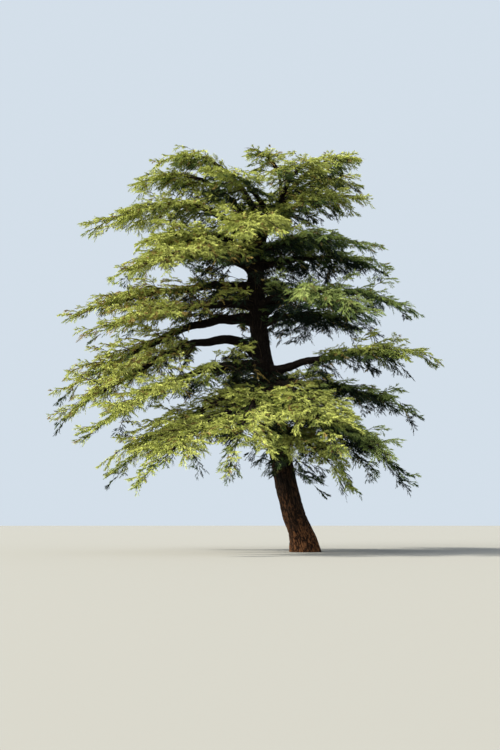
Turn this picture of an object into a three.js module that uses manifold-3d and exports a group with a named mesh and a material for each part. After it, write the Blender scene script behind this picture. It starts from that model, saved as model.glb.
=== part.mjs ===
// An old Atlas cedar. A leaning trunk runs up through the crown, long boughs leave it in tiers, and each
// bough ends in a flat mass of needles. Lengths are in millimetres and angles in degrees. +Z is up, azimuth 0
// is +X and azimuth 90 is +Y. The origin is the middle of the flat cut at ground level.
import * as THREE from "three";
import { mergeVertices } from "three/addons/utils/BufferGeometryUtils.js";
import Module from "manifold-3d";

const wasm = await Module();
wasm.setup();

const CLEAR = 0.3; // gap kept where one piece meets another

// The trunk, from the ground up: height, how far it has leant to +X and to +Y, and its diameter there.
const TRUNK = [
  [0, 0, 0, 1400],
  [900, -200, 0, 1340],
  [2100, -650, 20, 1220],
  [5000, -1280, 60, 1130],
  [9900, -2110, 100, 1010],
  [12100, -2480, 60, 970],
  [14300, -2640, 0, 920],
  [16400, -2600, -40, 800],
  [17500, -2280, -60, 500],
  [18800, -1620, -60, 340],
  [20200, -1250, 0, 220],
  [21300, -1350, 40, 150],
];
const TRUNK_TOP = TRUNK[TRUNK.length - 1][0];
const FLARE = 0.16; // how much wider the foot is, as a share of its radius
const FLARE_HEIGHT = 480;
const ROOT_LOBES = 5;
const ROOT_LOBE_DEPTH = 0.5;

// The boughs: name, azimuth, reach from the trunk's middle to the furthest needles, height where the bough
// leaves the trunk, height of its tip, how far the two handles of its curve lift above the straight line
// between them, and the share of its length that is bare. A mass whose bare share is 0 grows straight from
// the trunk.
const BOUGHS = [
  ["top", 200, 2300, 21200, 22400, 900, 700, 0],
  ["left_crown", 178, 6200, 17800, 21800, 3200, 2600, 0],
  ["left_upper", 160, 7700, 17050, 21400, 3200, 2500, 0],
  ["left_high", 188, 9600, 16500, 17700, 4000, 1500, 0.2],
  ["left_front_high", 215, 8000, 15850, 15700, 2400, 1200, 0.24],
  ["left_front_mid", 224, 9800, 15150, 13600, 2600, 1200, 0.3],
  ["left_mid", 176, 11000, 14500, 13000, 900, 800, 0.3],
  ["left_spur", 202, 9800, 13550, 11300, 700, 800, 0.42],
  ["left_low_mid", 168, 11900, 12700, 8900, 2000, 500, 0.4],
  ["left_low", 189, 11400, 10600, 7100, 4000, 500, 0.46],
  ["left_low_front", 211, 11000, 10000, 5700, 2000, 900, 0.42],
  ["left_skirt_front", 232, 10800, 7600, 3300, 1900, 1100, 0.36],
  ["left_skirt_back", 154, 10600, 8400, 4200, 1900, 1100, 0.36],
  ["front_crown_left", 228, 5000, 18400, 20200, 1300, 1000, 0],
  ["front_crown_right", 298, 4900, 19100, 20500, 1300, 1000, 0],
  ["front_high", 262, 6400, 17150, 15900, 1600, 1100, 0],
  ["front_low", 256, 9200, 8500, 3600, 1700, 1300, 0.3],
  ["front_low_right", 292, 8800, 9000, 4600, 1400, 1300, 0.32],
  ["front_skirt", 308, 6000, 6700, 3200, 900, 700, 0],
  ["right_crown", 2, 4900, 19600, 22000, 800, 1800, 0],
  ["right_upper", 24, 5200, 18600, 21500, 1400, 1200, 0],
  ["right_upper_front", -24, 5900, 17600, 18900, 1700, 1200, 0],
  ["right_high", -12, 6700, 16500, 16500, 1300, 900, 0],
  ["right_high_back", 20, 8300, 15600, 16400, 1000, 700, 0.28],
  ["right_mid", -2, 8900, 12900, 13200, 2300, 1200, 0.36],
  ["right_mid_front", -38, 7900, 13500, 12000, 1200, 1000, 0.38],
  ["right_low_front", -22, 9700, 9900, 9900, 200, 1700, 0.36],
  ["right_low", 12, 8700, 9100, 7500, 1000, 900, 0.32],
  ["right_skirt_front", -20, 7700, 7900, 3600, 1400, 1000, 0.34],
  ["right_skirt_back", 40, 8200, 8100, 4300, 1500, 1000, 0.34],
  ["back_crown", 96, 5200, 18150, 20500, 1300, 1100, 0],
  ["back_high_left", 135, 8600, 15300, 18600, 2000, 1500, 0.26],
  ["back_high_right", 50, 7800, 16050, 18000, 1500, 1200, 0],
  ["back_mid", 95, 9000, 14200, 15200, 1800, 1300, 0.34],
  ["back_mid_right", 47, 9000, 12300, 13400, 1300, 1000, 0.36],
  ["back_low", 100, 10000, 9400, 7600, 1900, 1300, 0.36],
];
const TOP = "top"; // the one mass that stands on the trunk's tip, with twigs all round

const GIRTH_PER_REACH = 0.045; // a bough's diameter at the trunk, as a share of its reach
const SMALL_GIRTH = 70;
const TIP_RADIUS = 22;
const TAPER_POWER = 0.85;
const COLLAR = 0.2; // how much a bough swells where it leaves the trunk
const COLLAR_LENGTH = 420;

const LAST_SPRAY = 0.9; // the stem stops this many spray lengths short of the tip, and its last spray goes on
const SPREAD_PER_REACH = 0.44; // a mass's width, as a share of its bough's reach
const SMALL_SPREAD = 2300;
const TWIG_SPACING = 1300;
const TWIGS_MIN = 3;
const TWIGS_MAX = 5;
const TWIG_SHARE = 0.28; // a twig's length, as a share of the mass's width
const TWIG_SAG = 0.24;
const TWIG_ROOT = 42; // its radius where it leaves the stem
const TWIG_TIP = 16;
const TWIG_TURN = [72, 40]; // away from the stem, at the stem's root and at its tip
const TWIG_TURN_SWING = 12;
const TWIG_RISE = [14, 6];
const TWIG_RISE_SWING = 16;
const TWIG_TRIES = [1, 0.75, 0.5]; // shares of its length, tried in turn until it fits

const SPRAY_SHARE = 0.44; // a spray's length, as a share of the mass's width
const SPRAY_MIN = 1700;
const SPRAY_MAX = 2800;
const SPRAY_WIDTH = 0.58; // as a share of its length
const SPRAY_THICK = 0.11; // as a share of its length
const SPRAY_SAG = 0.3;
const SPRAY_APART = 0.34; // two sprays' hearts stay this far apart, as a share of a spray's length
const STEM_SPRAY_SPACING = 850;
const SPRAY_TRIES = 7;
const TRY_SHRINK = 0.94; // each new try is this much smaller than the last

// The kinds of seat a spray can have: how far it may turn, lean and roll either way, and its size.
const STEM_END_SEAT = { turn: 0, lean: 4, roll: 20, size: 1.1, sunk: 160 };
const TWIG_END_SEAT = { turn: 6, lean: 6, roll: 45, size: 1, sunk: 100 };
const TWIG_SIDE_SEAT = { turn: 24, lean: 28, roll: 55, size: 0.95 };
const STEM_SIDE_SEAT = { turn: 28, lean: 22, roll: 50, size: 0.95 };
const TWIG_SIDE_TURN = 46; // away from the twig
const TWIG_SIDE_RISE = -12;
const STEM_SIDE_TURN = 55; // away from the stem
const STEM_SIDE_RISE = 20;
const SIDE_SUNK = 0.3; // how deep a side spray's root is sunk, as a share of the limb's radius
const LIMB_CLEARANCE = 120; // a twig or spray keeps this far from limbs that it doesn't grow on
const SPACE_MARGIN = 50; // a point is this much nearer to its own stem than to any other

// The dense core of each mass is a toothed plate along its stem, smaller than the mass, that the sprays
// stand out of.
const CORE_START = 0.1; // share of the stem that is bare of it
const CORE_WIDTH = 0.2; // half its width, as a share of the mass's width
const CORE_HEIGHT = 280; // half its height
const CORE_SAG = 0.4; // how far its edges hang, as a share of their distance from the stem
const CORE_TEETH = 6;
const CORE_NOTCH = 0.62; // how far out the notches between its teeth lie, as a share of the teeth

// The outline of a spray, from its root round both sides: share of the length, share of the width.
const SPRAY_OUTLINE = [
  [0, 0],
  [0.62, 0.5],
  [0.62, 0.2],
  [1, 0.04],
  [0.6, -0.16],
  [0.76, -0.46],
];
const SPRAY_INSIDE = [
  [0.25, 0],
  [0.4, 0.25],
  [0.4, -0.25],
  [0.75, 0],
];
const SPRAY_HEART = 0.38; // where a spray is thickest, as a share of its length

const UP = new THREE.Vector3(0, 0, 1);
const rad = THREE.MathUtils.degToRad;
const lerp = THREE.MathUtils.lerp;

// A repeatable run of numbers between 0 and 1.
function seeded(seed) {
  let state = (seed * 7919 + 104729) % 2147483647;
  return () => {
    state = (state * 48271) % 2147483647;
    return state / 2147483647;
  };
}

// Reads one column of a table of stations at a height, as a smooth curve through them.
function stationValue(table, height, column) {
  let k = 0;
  while (k < table.length - 2 && height > table[k + 1][0]) k += 1;
  const slope = (i) => {
    const a = table[Math.max(i - 1, 0)];
    const b = table[Math.min(i + 1, table.length - 1)];
    return (b[column] - a[column]) / (b[0] - a[0]);
  };
  const [low, high] = [table[k], table[k + 1]];
  const step = high[0] - low[0];
  const s = (height - low[0]) / step;
  const s2 = s * s;
  const s3 = s2 * s;
  return (
    (2 * s3 - 3 * s2 + 1) * low[column] +
    (s3 - 2 * s2 + s) * step * slope(k) +
    (3 * s2 - 2 * s3) * high[column] +
    (s3 - s2) * step * slope(k + 1)
  );
}

function trunkMiddle(height) {
  return new THREE.Vector3(stationValue(TRUNK, height, 1), stationValue(TRUNK, height, 2), height);
}

function trunkRadius(height, angle) {
  const lobes = 1 + ROOT_LOBE_DEPTH * Math.cos(ROOT_LOBES * angle);
  const flare = 1 + FLARE * lobes * Math.exp(-height / FLARE_HEIGHT);
  return (stationValue(TRUNK, height, 3) / 2) * flare;
}

// A unit vector from a heading about +Z and a rise above the level, both in radians.
function direction(heading, rise) {
  return new THREE.Vector3(
    Math.cos(heading) * Math.cos(rise),
    Math.sin(heading) * Math.cos(rise),
    Math.sin(rise),
  );
}

const headingOf = (way) => Math.atan2(way.y, way.x);

// A row of BOUGHS as a curve from the trunk's middle to the mass's tip.
function boughFrom([name, azimuth, reach, from, to, nearLift, farLift, bare], number) {
  const heading = rad(azimuth);
  const root = trunkMiddle(from);
  const at = (share, lift) =>
    root
      .clone()
      .addScaledVector(direction(heading, 0), reach * share)
      .setZ(lerp(from, to, share) + lift);
  const curve = new THREE.CubicBezierCurve3(root, at(0.3, nearLift), at(0.65, farLift), at(1, 0));
  const girth = SMALL_GIRTH + GIRTH_PER_REACH * reach;
  const spread = SMALL_SPREAD + SPREAD_PER_REACH * reach;
  const spray = THREE.MathUtils.clamp(SPRAY_SHARE * spread, SPRAY_MIN, SPRAY_MAX);
  const length = curve.getLength();
  const end = 1 - (LAST_SPRAY * spray) / length;
  return { name, number, heading, reach, curve, bare, girth, spread, spray, length, end };
}

function boughRadius(bough, t) {
  const plain = lerp(bough.girth / 2, TIP_RADIUS, t ** TAPER_POWER);
  const fromTrunk = Math.max(0, t * bough.length - bough.girth);
  return plain * (1 + COLLAR * Math.exp(-fromTrunk / COLLAR_LENGTH));
}

// A straight-rooted shoot that sags towards its tip: a twig, or the rib of a spray.
function shoot(at, heading, rise, length, sag) {
  return { at, heading, rise, length, sag };
}

function shootPoint(s, share) {
  return s.at
    .clone()
    .addScaledVector(direction(s.heading, s.rise), s.length * share)
    .addScaledVector(UP, -s.sag * s.length * share * share);
}

function shootTangent(s, share) {
  return direction(s.heading, s.rise)
    .addScaledVector(UP, -2 * s.sag * share)
    .normalize();
}

// The twigs of one mass. They leave its stem on both sides in turn, or all round it on the top of the tree.
function twigsOf(bough, chance) {
  const leafy = bough.length * (bough.end - bough.bare);
  const count = THREE.MathUtils.clamp(Math.round(leafy / TWIG_SPACING), TWIGS_MIN, TWIGS_MAX);
  const twigs = [];
  for (let k = 0; k < count; k++) {
    const along = (k + 0.25 + 0.4 * chance()) / count;
    const t = lerp(bough.bare, bough.end, lerp(0.06, 0.94, along));
    const tangent = bough.curve.getTangent(t);
    const side = k % 2 ? 1 : -1;
    const turn = rad(lerp(...TWIG_TURN, along) + TWIG_TURN_SWING * (chance() - 0.5));
    const rise = rad(lerp(...TWIG_RISE, along) + TWIG_RISE_SWING * (chance() - 0.5));
    const heading = bough.name === TOP ? rad((360 / count) * k) : headingOf(tangent) + side * turn;
    const width = Math.sin(Math.PI * lerp(0.3, 0.86, along));
    const longest = TWIG_SHARE * (0.85 + 0.3 * chance()) * bough.spread * width;
    for (const share of TWIG_TRIES) {
      const twig = { ...shoot(bough.curve.getPoint(t), heading, rise, longest * share, TWIG_SAG), side };
      if (keepsToSpace([shootPoint(twig, 0.6), shootPoint(twig, 1)], bough)) {
        twigs.push(twig);
        break;
      }
    }
  }
  return twigs;
}

// Where a mass may carry sprays: the stem's tip, each twig's tip and side, and the stem between the twigs.
// A root is sunk past its seat by a length that keeps it inside the twig or stem.
function spraySeats(bough, twigs, chance) {
  const { curve, bare, end } = bough;
  const seats = [seatAlong(curve.getPoint(end), curve.getTangent(end), STEM_END_SEAT)];
  for (const twig of twigs) {
    seats.push(seatAlong(shootPoint(twig, 1), shootTangent(twig, 1), TWIG_END_SEAT));
    const share = lerp(0.35, 0.6, chance());
    seats.push({
      ...TWIG_SIDE_SEAT,
      at: shootPoint(twig, share),
      heading: headingOf(shootTangent(twig, share)) + twig.side * rad(TWIG_SIDE_TURN),
      rise: rad(TWIG_SIDE_RISE),
      sunk: SIDE_SUNK * lerp(TWIG_ROOT, TWIG_TIP, share),
    });
  }
  const onStem = Math.round((bough.length * (end - bare)) / STEM_SPRAY_SPACING);
  for (let k = 0; k < onStem; k++) {
    const t = lerp(bare, end, (k + 0.3 + 0.6 * chance()) / onStem);
    const side = k % 2 ? -1 : 1;
    seats.push({
      ...STEM_SIDE_SEAT,
      at: curve.getPoint(t),
      heading: headingOf(curve.getTangent(t)) + side * rad(STEM_SIDE_TURN),
      rise: rad(STEM_SIDE_RISE),
      sunk: SIDE_SUNK * boughRadius(bough, t),
    });
  }
  return seats;
}

// A seat whose spray carries on the way that the limb under it goes.
function seatAlong(at, way, kind) {
  return { ...kind, at, heading: headingOf(way), rise: Math.asin(way.z) };
}

// One try at a spray on a seat, turned, leant and rolled by chance.
function sprayOn(seat, bough, shrink, chance) {
  const swing = (range) => rad(range) * (2 * chance() - 1);
  const heading = seat.heading + swing(seat.turn);
  const rise = seat.rise + swing(seat.lean);
  const length = bough.spray * seat.size * shrink * (0.9 + 0.2 * chance());
  const root = seat.at.clone().addScaledVector(direction(heading, rise), -seat.sunk);
  const roll = swing(seat.roll);
  return { ...shoot(root, heading, rise, length, SPRAY_SAG), roll, hand: chance() < 0.5 ? -1 : 1 };
}

// The sprays of one mass. Each seat has a few tries, and stays empty where none fits.
function spraysOf(bough, twigs, chance) {
  const sprays = [];
  for (const seat of spraySeats(bough, twigs, chance)) {
    for (let attempt = 0; attempt < SPRAY_TRIES; attempt++) {
      const spray = sprayOn(seat, bough, TRY_SHRINK ** attempt, chance);
      const heart = sprayPoint(spray, 0.5, 0, 0);
      const crowded = sprays.some((other) => heart.distanceTo(other.heart) < SPRAY_APART * spray.length);
      if (!crowded && keepsToSpace(samplesOf(spray), bough)) {
        sprays.push({ ...spray, heart });
        break;
      }
    }
  }
  return sprays;
}

// Points all over a spray: its outline past the root, and some inside it.
const samplesOf = (spray) =>
  [...SPRAY_OUTLINE.slice(1), ...SPRAY_INSIDE].map(([share, across]) =>
    sprayPoint(spray, share, across * spray.hand, 0),
  );

// A point on a spray, by its share of the length and of the width, and its height above the rib.
function sprayPoint(spray, share, across, height) {
  const { heading, rise, roll } = spray;
  const level = new THREE.Vector3(-Math.sin(heading), Math.cos(heading), 0);
  const above = new THREE.Vector3(
    -Math.cos(heading) * Math.sin(rise),
    -Math.sin(heading) * Math.sin(rise),
    Math.cos(rise),
  );
  const width = SPRAY_WIDTH * spray.length;
  return shootPoint(spray, share)
    .addScaledVector(level, width * across * Math.cos(roll) - height * Math.sin(roll))
    .addScaledVector(above, width * across * Math.sin(roll) + height * Math.cos(roll))
    .addScaledVector(UP, -SPRAY_SAG * width * Math.abs(across));
}

// Distance from a point to a line of points.
function distanceTo(line, point) {
  let best = Infinity;
  for (let i = 0; i + 1 < line.length; i++) {
    const a = line[i];
    const ab = line[i + 1].clone().sub(a);
    const ap = point.clone().sub(a);
    const t = THREE.MathUtils.clamp(ap.dot(ab) / ab.lengthSq(), 0, 1);
    best = Math.min(best, ap.addScaledVector(ab, -t).length());
  }
  return best;
}

const LINE_STEPS = 6;
const TRUNK_LINE_STEPS = 22;
const lineOf = (curve, from, to) =>
  Array.from({ length: LINE_STEPS + 1 }, (_, i) => curve.getPoint(lerp(from, to, i / LINE_STEPS)));

const boughs = BOUGHS.map(boughFrom);
for (const bough of boughs) {
  bough.bareLine = lineOf(bough.curve, 0, bough.bare);
  bough.leafyLine = lineOf(bough.curve, bough.bare, bough.end);
}
const trunkLine = Array.from({ length: TRUNK_LINE_STEPS + 1 }, (_, i) =>
  trunkMiddle((TRUNK_TOP * i) / TRUNK_LINE_STEPS),
);

// Whether points keep to the space of one bough's mass: nearest to its stem, and clear of every other limb.
function keepsToSpace(points, own) {
  return points.every((point) => {
    if (point.z < LIMB_CLEARANCE) return false;
    const mine = distanceTo(own.leafyLine, point);
    const trunkWidth = trunkRadius(Math.min(point.z, TRUNK_TOP), 0);
    if (distanceTo(trunkLine, point) < trunkWidth + LIMB_CLEARANCE) return false;
    return boughs.every((other) => {
      const away = boughRadius(other, 0.2) + LIMB_CLEARANCE;
      if (other.bare > 0 && distanceTo(other.bareLine, point) < away) return false;
      return other === own || distanceTo(other.leafyLine, point) > mine + SPACE_MARGIN;
    });
  });
}

// A closed three.js geometry as a solid that can be joined and cut.
function solidOf(geometry) {
  const bare = geometry.clone();
  bare.deleteAttribute("normal");
  bare.deleteAttribute("uv");
  const merged = mergeVertices(bare, 1e-3);
  return new wasm.Manifold(
    new wasm.Mesh({
      numProp: 3,
      vertProperties: merged.attributes.position.array,
      triVerts: new Uint32Array(merged.index.array),
    }),
  );
}

function geometryOf(solid) {
  const { numProp, numVert, vertProperties, triVerts } = solid.getMesh();
  const places = new Float32Array(numVert * 3);
  for (let i = 0; i < numVert; i++) places.set(vertProperties.subarray(i * numProp, i * numProp + 3), i * 3);
  return new THREE.BufferGeometry()
    .setAttribute("position", new THREE.BufferAttribute(places, 3))
    .setIndex(new THREE.BufferAttribute(triVerts, 1))
    .toNonIndexed();
}

// The largest body of a solid, without loose scraps or sealed hollows.
function mainBody(solid) {
  return solid.decompose().sort((a, b) => b.volume() - a.volume())[0];
}

// Moves every vertex of a closed geometry by a rule.
function reshaped(geometry, place) {
  const position = geometry.attributes.position;
  const vertex = new THREE.Vector3();
  for (let i = 0; i < position.count; i++) {
    vertex.fromBufferAttribute(position, i);
    const { x, y, z } = place(vertex);
    position.setXYZ(i, x, y, z);
  }
  return geometry;
}

// A tapering round limb along a line: middle(t) and radius(t), for t from 0 to 1.
function limbSolid(middle, tangent, radius, sides, steps) {
  const tube = new THREE.CylinderGeometry(1, 1, 1, sides, steps);
  const across = new THREE.Vector3();
  const above = new THREE.Vector3();
  return solidOf(
    reshaped(tube, (v) => {
      const t = v.y + 0.5;
      const along = tangent(t);
      across.crossVectors(along, UP).normalize();
      above.crossVectors(across, along);
      return middle(t)
        .addScaledVector(across, v.x * radius(t))
        .addScaledVector(above, v.z * radius(t));
    }),
  );
}

const TRUNK_SIDES = 14;
const TRUNK_STEPS = 16;
const FOOT_CROWDING = 0.6; // how much closer together the rings are near the ground

// The trunk, or the trunk with some extra all round and above, for cutting the room that others leave it.
function trunkSolid(extra) {
  const tube = new THREE.CylinderGeometry(1, 1, 1, TRUNK_SIDES, TRUNK_STEPS);
  return solidOf(
    reshaped(tube, (v) => {
      const t = v.y + 0.5;
      const height = (TRUNK_TOP + extra) * lerp(t * t, t, 1 - FOOT_CROWDING);
      const angle = Math.atan2(-v.z, v.x);
      const radius = v.x || v.z ? trunkRadius(height, angle) + extra : 0;
      return trunkMiddle(height).addScaledVector(direction(angle, 0), radius);
    }),
  );
}

const BOUGH_SIDES = 5;
const BOUGH_STEPS = 4;

function boughSolid(bough) {
  const share = (t) => t * bough.bare;
  return limbSolid(
    (t) => bough.curve.getPoint(share(t)),
    (t) => bough.curve.getTangent(share(t)),
    (t) => boughRadius(bough, share(t)),
    BOUGH_SIDES,
    BOUGH_STEPS,
  );
}

const STEM_SIDES = 3;
const STEM_STEPS = 3;

// The stem of a mass carries its bough on. It starts clear of the bough's tip, or inside the trunk.
function stemSolid(bough) {
  const start = bough.bare + (bough.bare > 0 ? CLEAR / bough.length : 0);
  const share = (t) => lerp(start, bough.end, t);
  return limbSolid(
    (t) => bough.curve.getPoint(share(t)),
    (t) => bough.curve.getTangent(share(t)),
    (t) => boughRadius(bough, share(t)),
    STEM_SIDES,
    STEM_STEPS,
  );
}

const TWIG_SIDES = 3;
const TWIG_STEPS = 1;

function twigSolid(twig) {
  return limbSolid(
    (t) => shootPoint(twig, t),
    (t) => shootTangent(twig, t),
    (t) => lerp(TWIG_ROOT, TWIG_TIP, t),
    TWIG_SIDES,
    TWIG_STEPS,
  );
}

// A toothed blade: a sphere of two caps, whose waist is drawn out to the outline.
function spraySolid(spray) {
  const blade = new THREE.SphereGeometry(1, SPRAY_OUTLINE.length, 2);
  const corners = SPRAY_OUTLINE.length;
  return solidOf(
    reshaped(blade, (v) => {
      if (Math.abs(v.y) > 0.5) {
        return sprayPoint(spray, SPRAY_HEART, 0, Math.sign(v.y) * 0.5 * SPRAY_THICK * spray.length);
      }
      const turn = (spray.hand * Math.atan2(-v.z, -v.x)) / (2 * Math.PI);
      const corner = ((Math.round(turn * corners) % corners) + corners) % corners;
      const [share, across] = SPRAY_OUTLINE[corner];
      return sprayPoint(spray, share, across * spray.hand, 0);
    }),
  );
}

// The core of a mass. Where a tooth would leave the mass's space it is drawn in towards the stem.
function coreSolid(bough) {
  const corners = 2 * CORE_TEETH;
  const ball = new THREE.SphereGeometry(1, corners, 2);
  const from = lerp(bough.bare, bough.end, CORE_START);
  const half = CORE_WIDTH * bough.spread;
  return solidOf(
    reshaped(ball, (v) => {
      const t = lerp(from, bough.end, 0.5 + v.x / 2);
      const middle = bough.curve.getPoint(t);
      if (Math.abs(v.y) > 0.5) return middle.addScaledVector(UP, v.y * CORE_HEIGHT);
      const corner = Math.round((Math.atan2(v.z, v.x) / (2 * Math.PI) + 1) * corners);
      const across = bough.curve.getTangent(t).cross(UP).normalize();
      const aside = half * v.z * (corner % 2 ? 1 : CORE_NOTCH);
      const place = (share) =>
        middle
          .clone()
          .addScaledVector(across, aside * share)
          .addScaledVector(UP, -CORE_SAG * Math.abs(aside) * share);
      return place([1, 0.8, 0.6, 0.4].find((share) => keepsToSpace([place(share)], bough)) ?? 0.2);
    }),
  );
}

function massSolid(bough, trunk) {
  const chance = seeded(bough.number + 1);
  const twigs = twigsOf(bough, chance);
  let mass = stemSolid(bough).add(coreSolid(bough));
  for (const twig of twigs) mass = mass.add(twigSolid(twig));
  for (const spray of spraysOf(bough, twigs, chance)) mass = mass.add(spraySolid(spray));
  if (bough.bare === 0) mass = mass.subtract(trunk);
  return mainBody(mass);
}

const BARK = new THREE.MeshStandardMaterial({ color: 0x4a3a2c, roughness: 0.95, metalness: 0 });
const NEEDLES = new THREE.MeshStandardMaterial({ color: 0x6e7a35, roughness: 0.8, metalness: 0 });

function named(name, solid, material) {
  const mesh = new THREE.Mesh(geometryOf(solid), material);
  mesh.geometry.computeVertexNormals();
  mesh.name = name;
  return mesh;
}

const tree = new THREE.Group();
tree.name = "cedar";
const trunkWithGap = trunkSolid(CLEAR);
tree.add(named("trunk", trunkSolid(0), BARK));
for (const bough of boughs) {
  if (bough.bare > 0) {
    tree.add(named(`bough_${bough.name}`, mainBody(boughSolid(bough).subtract(trunkWithGap)), BARK));
  }
  tree.add(named(`foliage_${bough.name}`, massSolid(bough, trunkWithGap), NEEDLES));
}

export default tree;
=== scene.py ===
"""An old Atlas cedar: furrowed trunk, long arched boughs, and flat drooping plates of needles.

Lengths are in metres and angles in degrees. +Z is up and the trunk's flat cut stands at the origin.
"""

import math
from functools import lru_cache

import bmesh
import bpy
import numpy as np
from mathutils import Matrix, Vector, noise


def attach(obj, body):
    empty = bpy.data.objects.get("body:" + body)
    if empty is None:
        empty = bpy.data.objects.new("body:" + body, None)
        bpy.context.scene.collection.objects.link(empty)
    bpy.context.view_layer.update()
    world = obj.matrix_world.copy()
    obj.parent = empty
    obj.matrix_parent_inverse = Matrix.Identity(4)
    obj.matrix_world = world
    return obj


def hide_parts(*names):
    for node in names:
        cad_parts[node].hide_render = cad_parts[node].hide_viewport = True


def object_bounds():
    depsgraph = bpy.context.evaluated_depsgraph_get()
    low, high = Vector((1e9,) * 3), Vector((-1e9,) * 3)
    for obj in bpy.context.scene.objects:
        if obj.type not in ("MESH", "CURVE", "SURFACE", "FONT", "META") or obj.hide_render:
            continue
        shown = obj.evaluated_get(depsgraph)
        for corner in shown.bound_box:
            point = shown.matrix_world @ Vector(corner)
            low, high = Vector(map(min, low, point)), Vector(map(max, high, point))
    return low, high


bl_info = {
    "name": "Atlas Cedar",
    "version": (1, 0, 0),
    "blender": (4, 5, 0),
    "location": "3D View > Sidebar > Cedar",
    "description": "Grows an old Atlas cedar from its trunk out to its needles",
    "category": "Add Mesh",
}

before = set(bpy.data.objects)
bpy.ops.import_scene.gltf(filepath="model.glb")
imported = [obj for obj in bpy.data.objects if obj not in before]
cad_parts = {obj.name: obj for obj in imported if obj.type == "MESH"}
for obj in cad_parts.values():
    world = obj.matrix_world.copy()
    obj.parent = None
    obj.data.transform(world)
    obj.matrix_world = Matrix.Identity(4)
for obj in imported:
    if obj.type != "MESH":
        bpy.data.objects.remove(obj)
CAD_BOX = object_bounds()

# The trunk, from the ground up: height, how far it has leant to +X and to +Y, and its diameter there.
TRUNK = (
    (0, 0, 0, 1.4),
    (0.9, -0.2, 0, 1.34),
    (2.1, -0.65, 0.02, 1.22),
    (5, -1.28, 0.06, 1.13),
    (9.9, -2.11, 0.1, 1.01),
    (12.1, -2.48, 0.06, 0.97),
    (14.3, -2.64, 0, 0.92),
    (16.4, -2.6, -0.04, 0.8),
    (17.5, -2.28, -0.06, 0.5),
    (18.8, -1.62, -0.06, 0.34),
    (20.2, -1.25, 0, 0.22),
    (21.3, -1.35, 0.04, 0.15),
)
TRUNK_TOP = TRUNK[-1][0]
TRUNK_LINKS = 22  # straight pieces of its middle line that growth is kept clear of
TRUNK_WIDTHS = 200  # heights at which its width is worked out for that
BOUGH_WIDTH_AT = 0.2  # where along a bough its width is taken for that
FLARE = 0.16  # how much wider the foot is, as a share of its radius
FLARE_HEIGHT = 0.48
ROOT_LOBES = 5
ROOT_LOBE_DEPTH = 0.5

# The boughs: name, azimuth, reach from the trunk's middle to the furthest needles, height where the bough
# leaves the trunk, height of its tip, how far the two handles of its curve lift above the straight line
# between them, and the share of its length that is bare. A mass whose bare share is 0 grows straight from
# the trunk.
BOUGHS = (
    ("top", 200, 2.3, 21.2, 22.4, 0.9, 0.7, 0),
    ("left_crown", 178, 6.2, 17.8, 21.8, 3.2, 2.6, 0),
    ("left_upper", 160, 7.7, 17.05, 21.4, 3.2, 2.5, 0),
    ("left_high", 188, 9.6, 16.5, 17.7, 4, 1.5, 0.2),
    ("left_front_high", 215, 8, 15.85, 15.7, 2.4, 1.2, 0.24),
    ("left_front_mid", 224, 9.8, 15.15, 13.6, 2.6, 1.2, 0.3),
    ("left_mid", 176, 11, 14.5, 13, 0.9, 0.8, 0.3),
    ("left_spur", 202, 9.8, 13.55, 11.3, 0.7, 0.8, 0.42),
    ("left_low_mid", 168, 11.9, 12.7, 8.9, 2, 0.5, 0.4),
    ("left_low", 189, 11.4, 10.6, 7.1, 4, 0.5, 0.46),
    ("left_low_front", 211, 11, 10, 5.7, 2, 0.9, 0.42),
    ("left_skirt_front", 232, 10.8, 7.6, 3.3, 1.9, 1.1, 0.36),
    ("left_skirt_back", 154, 10.6, 8.4, 4.2, 1.9, 1.1, 0.36),
    ("front_crown_left", 228, 5, 18.4, 20.2, 1.3, 1, 0),
    ("front_crown_right", 298, 4.9, 19.1, 20.5, 1.3, 1, 0),
    ("front_high", 262, 6.4, 17.15, 15.9, 1.6, 1.1, 0),
    ("front_low", 256, 9.2, 8.5, 3.6, 1.7, 1.3, 0.3),
    ("front_low_right", 292, 8.8, 9, 4.6, 1.4, 1.3, 0.32),
    ("front_skirt", 308, 6, 6.7, 3.2, 0.9, 0.7, 0),
    ("right_crown", 2, 4.9, 19.6, 22, 0.8, 1.8, 0),
    ("right_upper", 24, 5.2, 18.6, 21.5, 1.4, 1.2, 0),
    ("right_upper_front", -24, 5.9, 17.6, 18.9, 1.7, 1.2, 0),
    ("right_high", -12, 6.7, 16.5, 16.5, 1.3, 0.9, 0),
    ("right_high_back", 20, 8.3, 15.6, 16.4, 1, 0.7, 0.28),
    ("right_mid", -2, 8.9, 12.9, 13.2, 2.3, 1.2, 0.36),
    ("right_mid_front", -38, 7.9, 13.5, 12, 1.2, 1, 0.38),
    ("right_low_front", -22, 9.7, 9.9, 9.9, 0.2, 1.7, 0.36),
    ("right_low", 12, 8.7, 9.1, 7.5, 1, 0.9, 0.32),
    ("right_skirt_front", -20, 7.7, 7.9, 3.6, 1.4, 1, 0.34),
    ("right_skirt_back", 40, 8.2, 8.1, 4.3, 1.5, 1, 0.34),
    ("back_crown", 96, 5.2, 18.15, 20.5, 1.3, 1.1, 0),
    ("back_high_left", 135, 8.6, 15.3, 18.6, 2, 1.5, 0.26),
    ("back_high_right", 50, 7.8, 16.05, 18, 1.5, 1.2, 0),
    ("back_mid", 95, 9, 14.2, 15.2, 1.8, 1.3, 0.34),
    ("back_mid_right", 47, 9, 12.3, 13.4, 1.3, 1, 0.36),
    ("back_low", 100, 10, 9.4, 7.6, 1.9, 1.3, 0.36),
)
TOP = "top"  # the one mass that stands on the trunk's tip, with twigs all round

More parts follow.
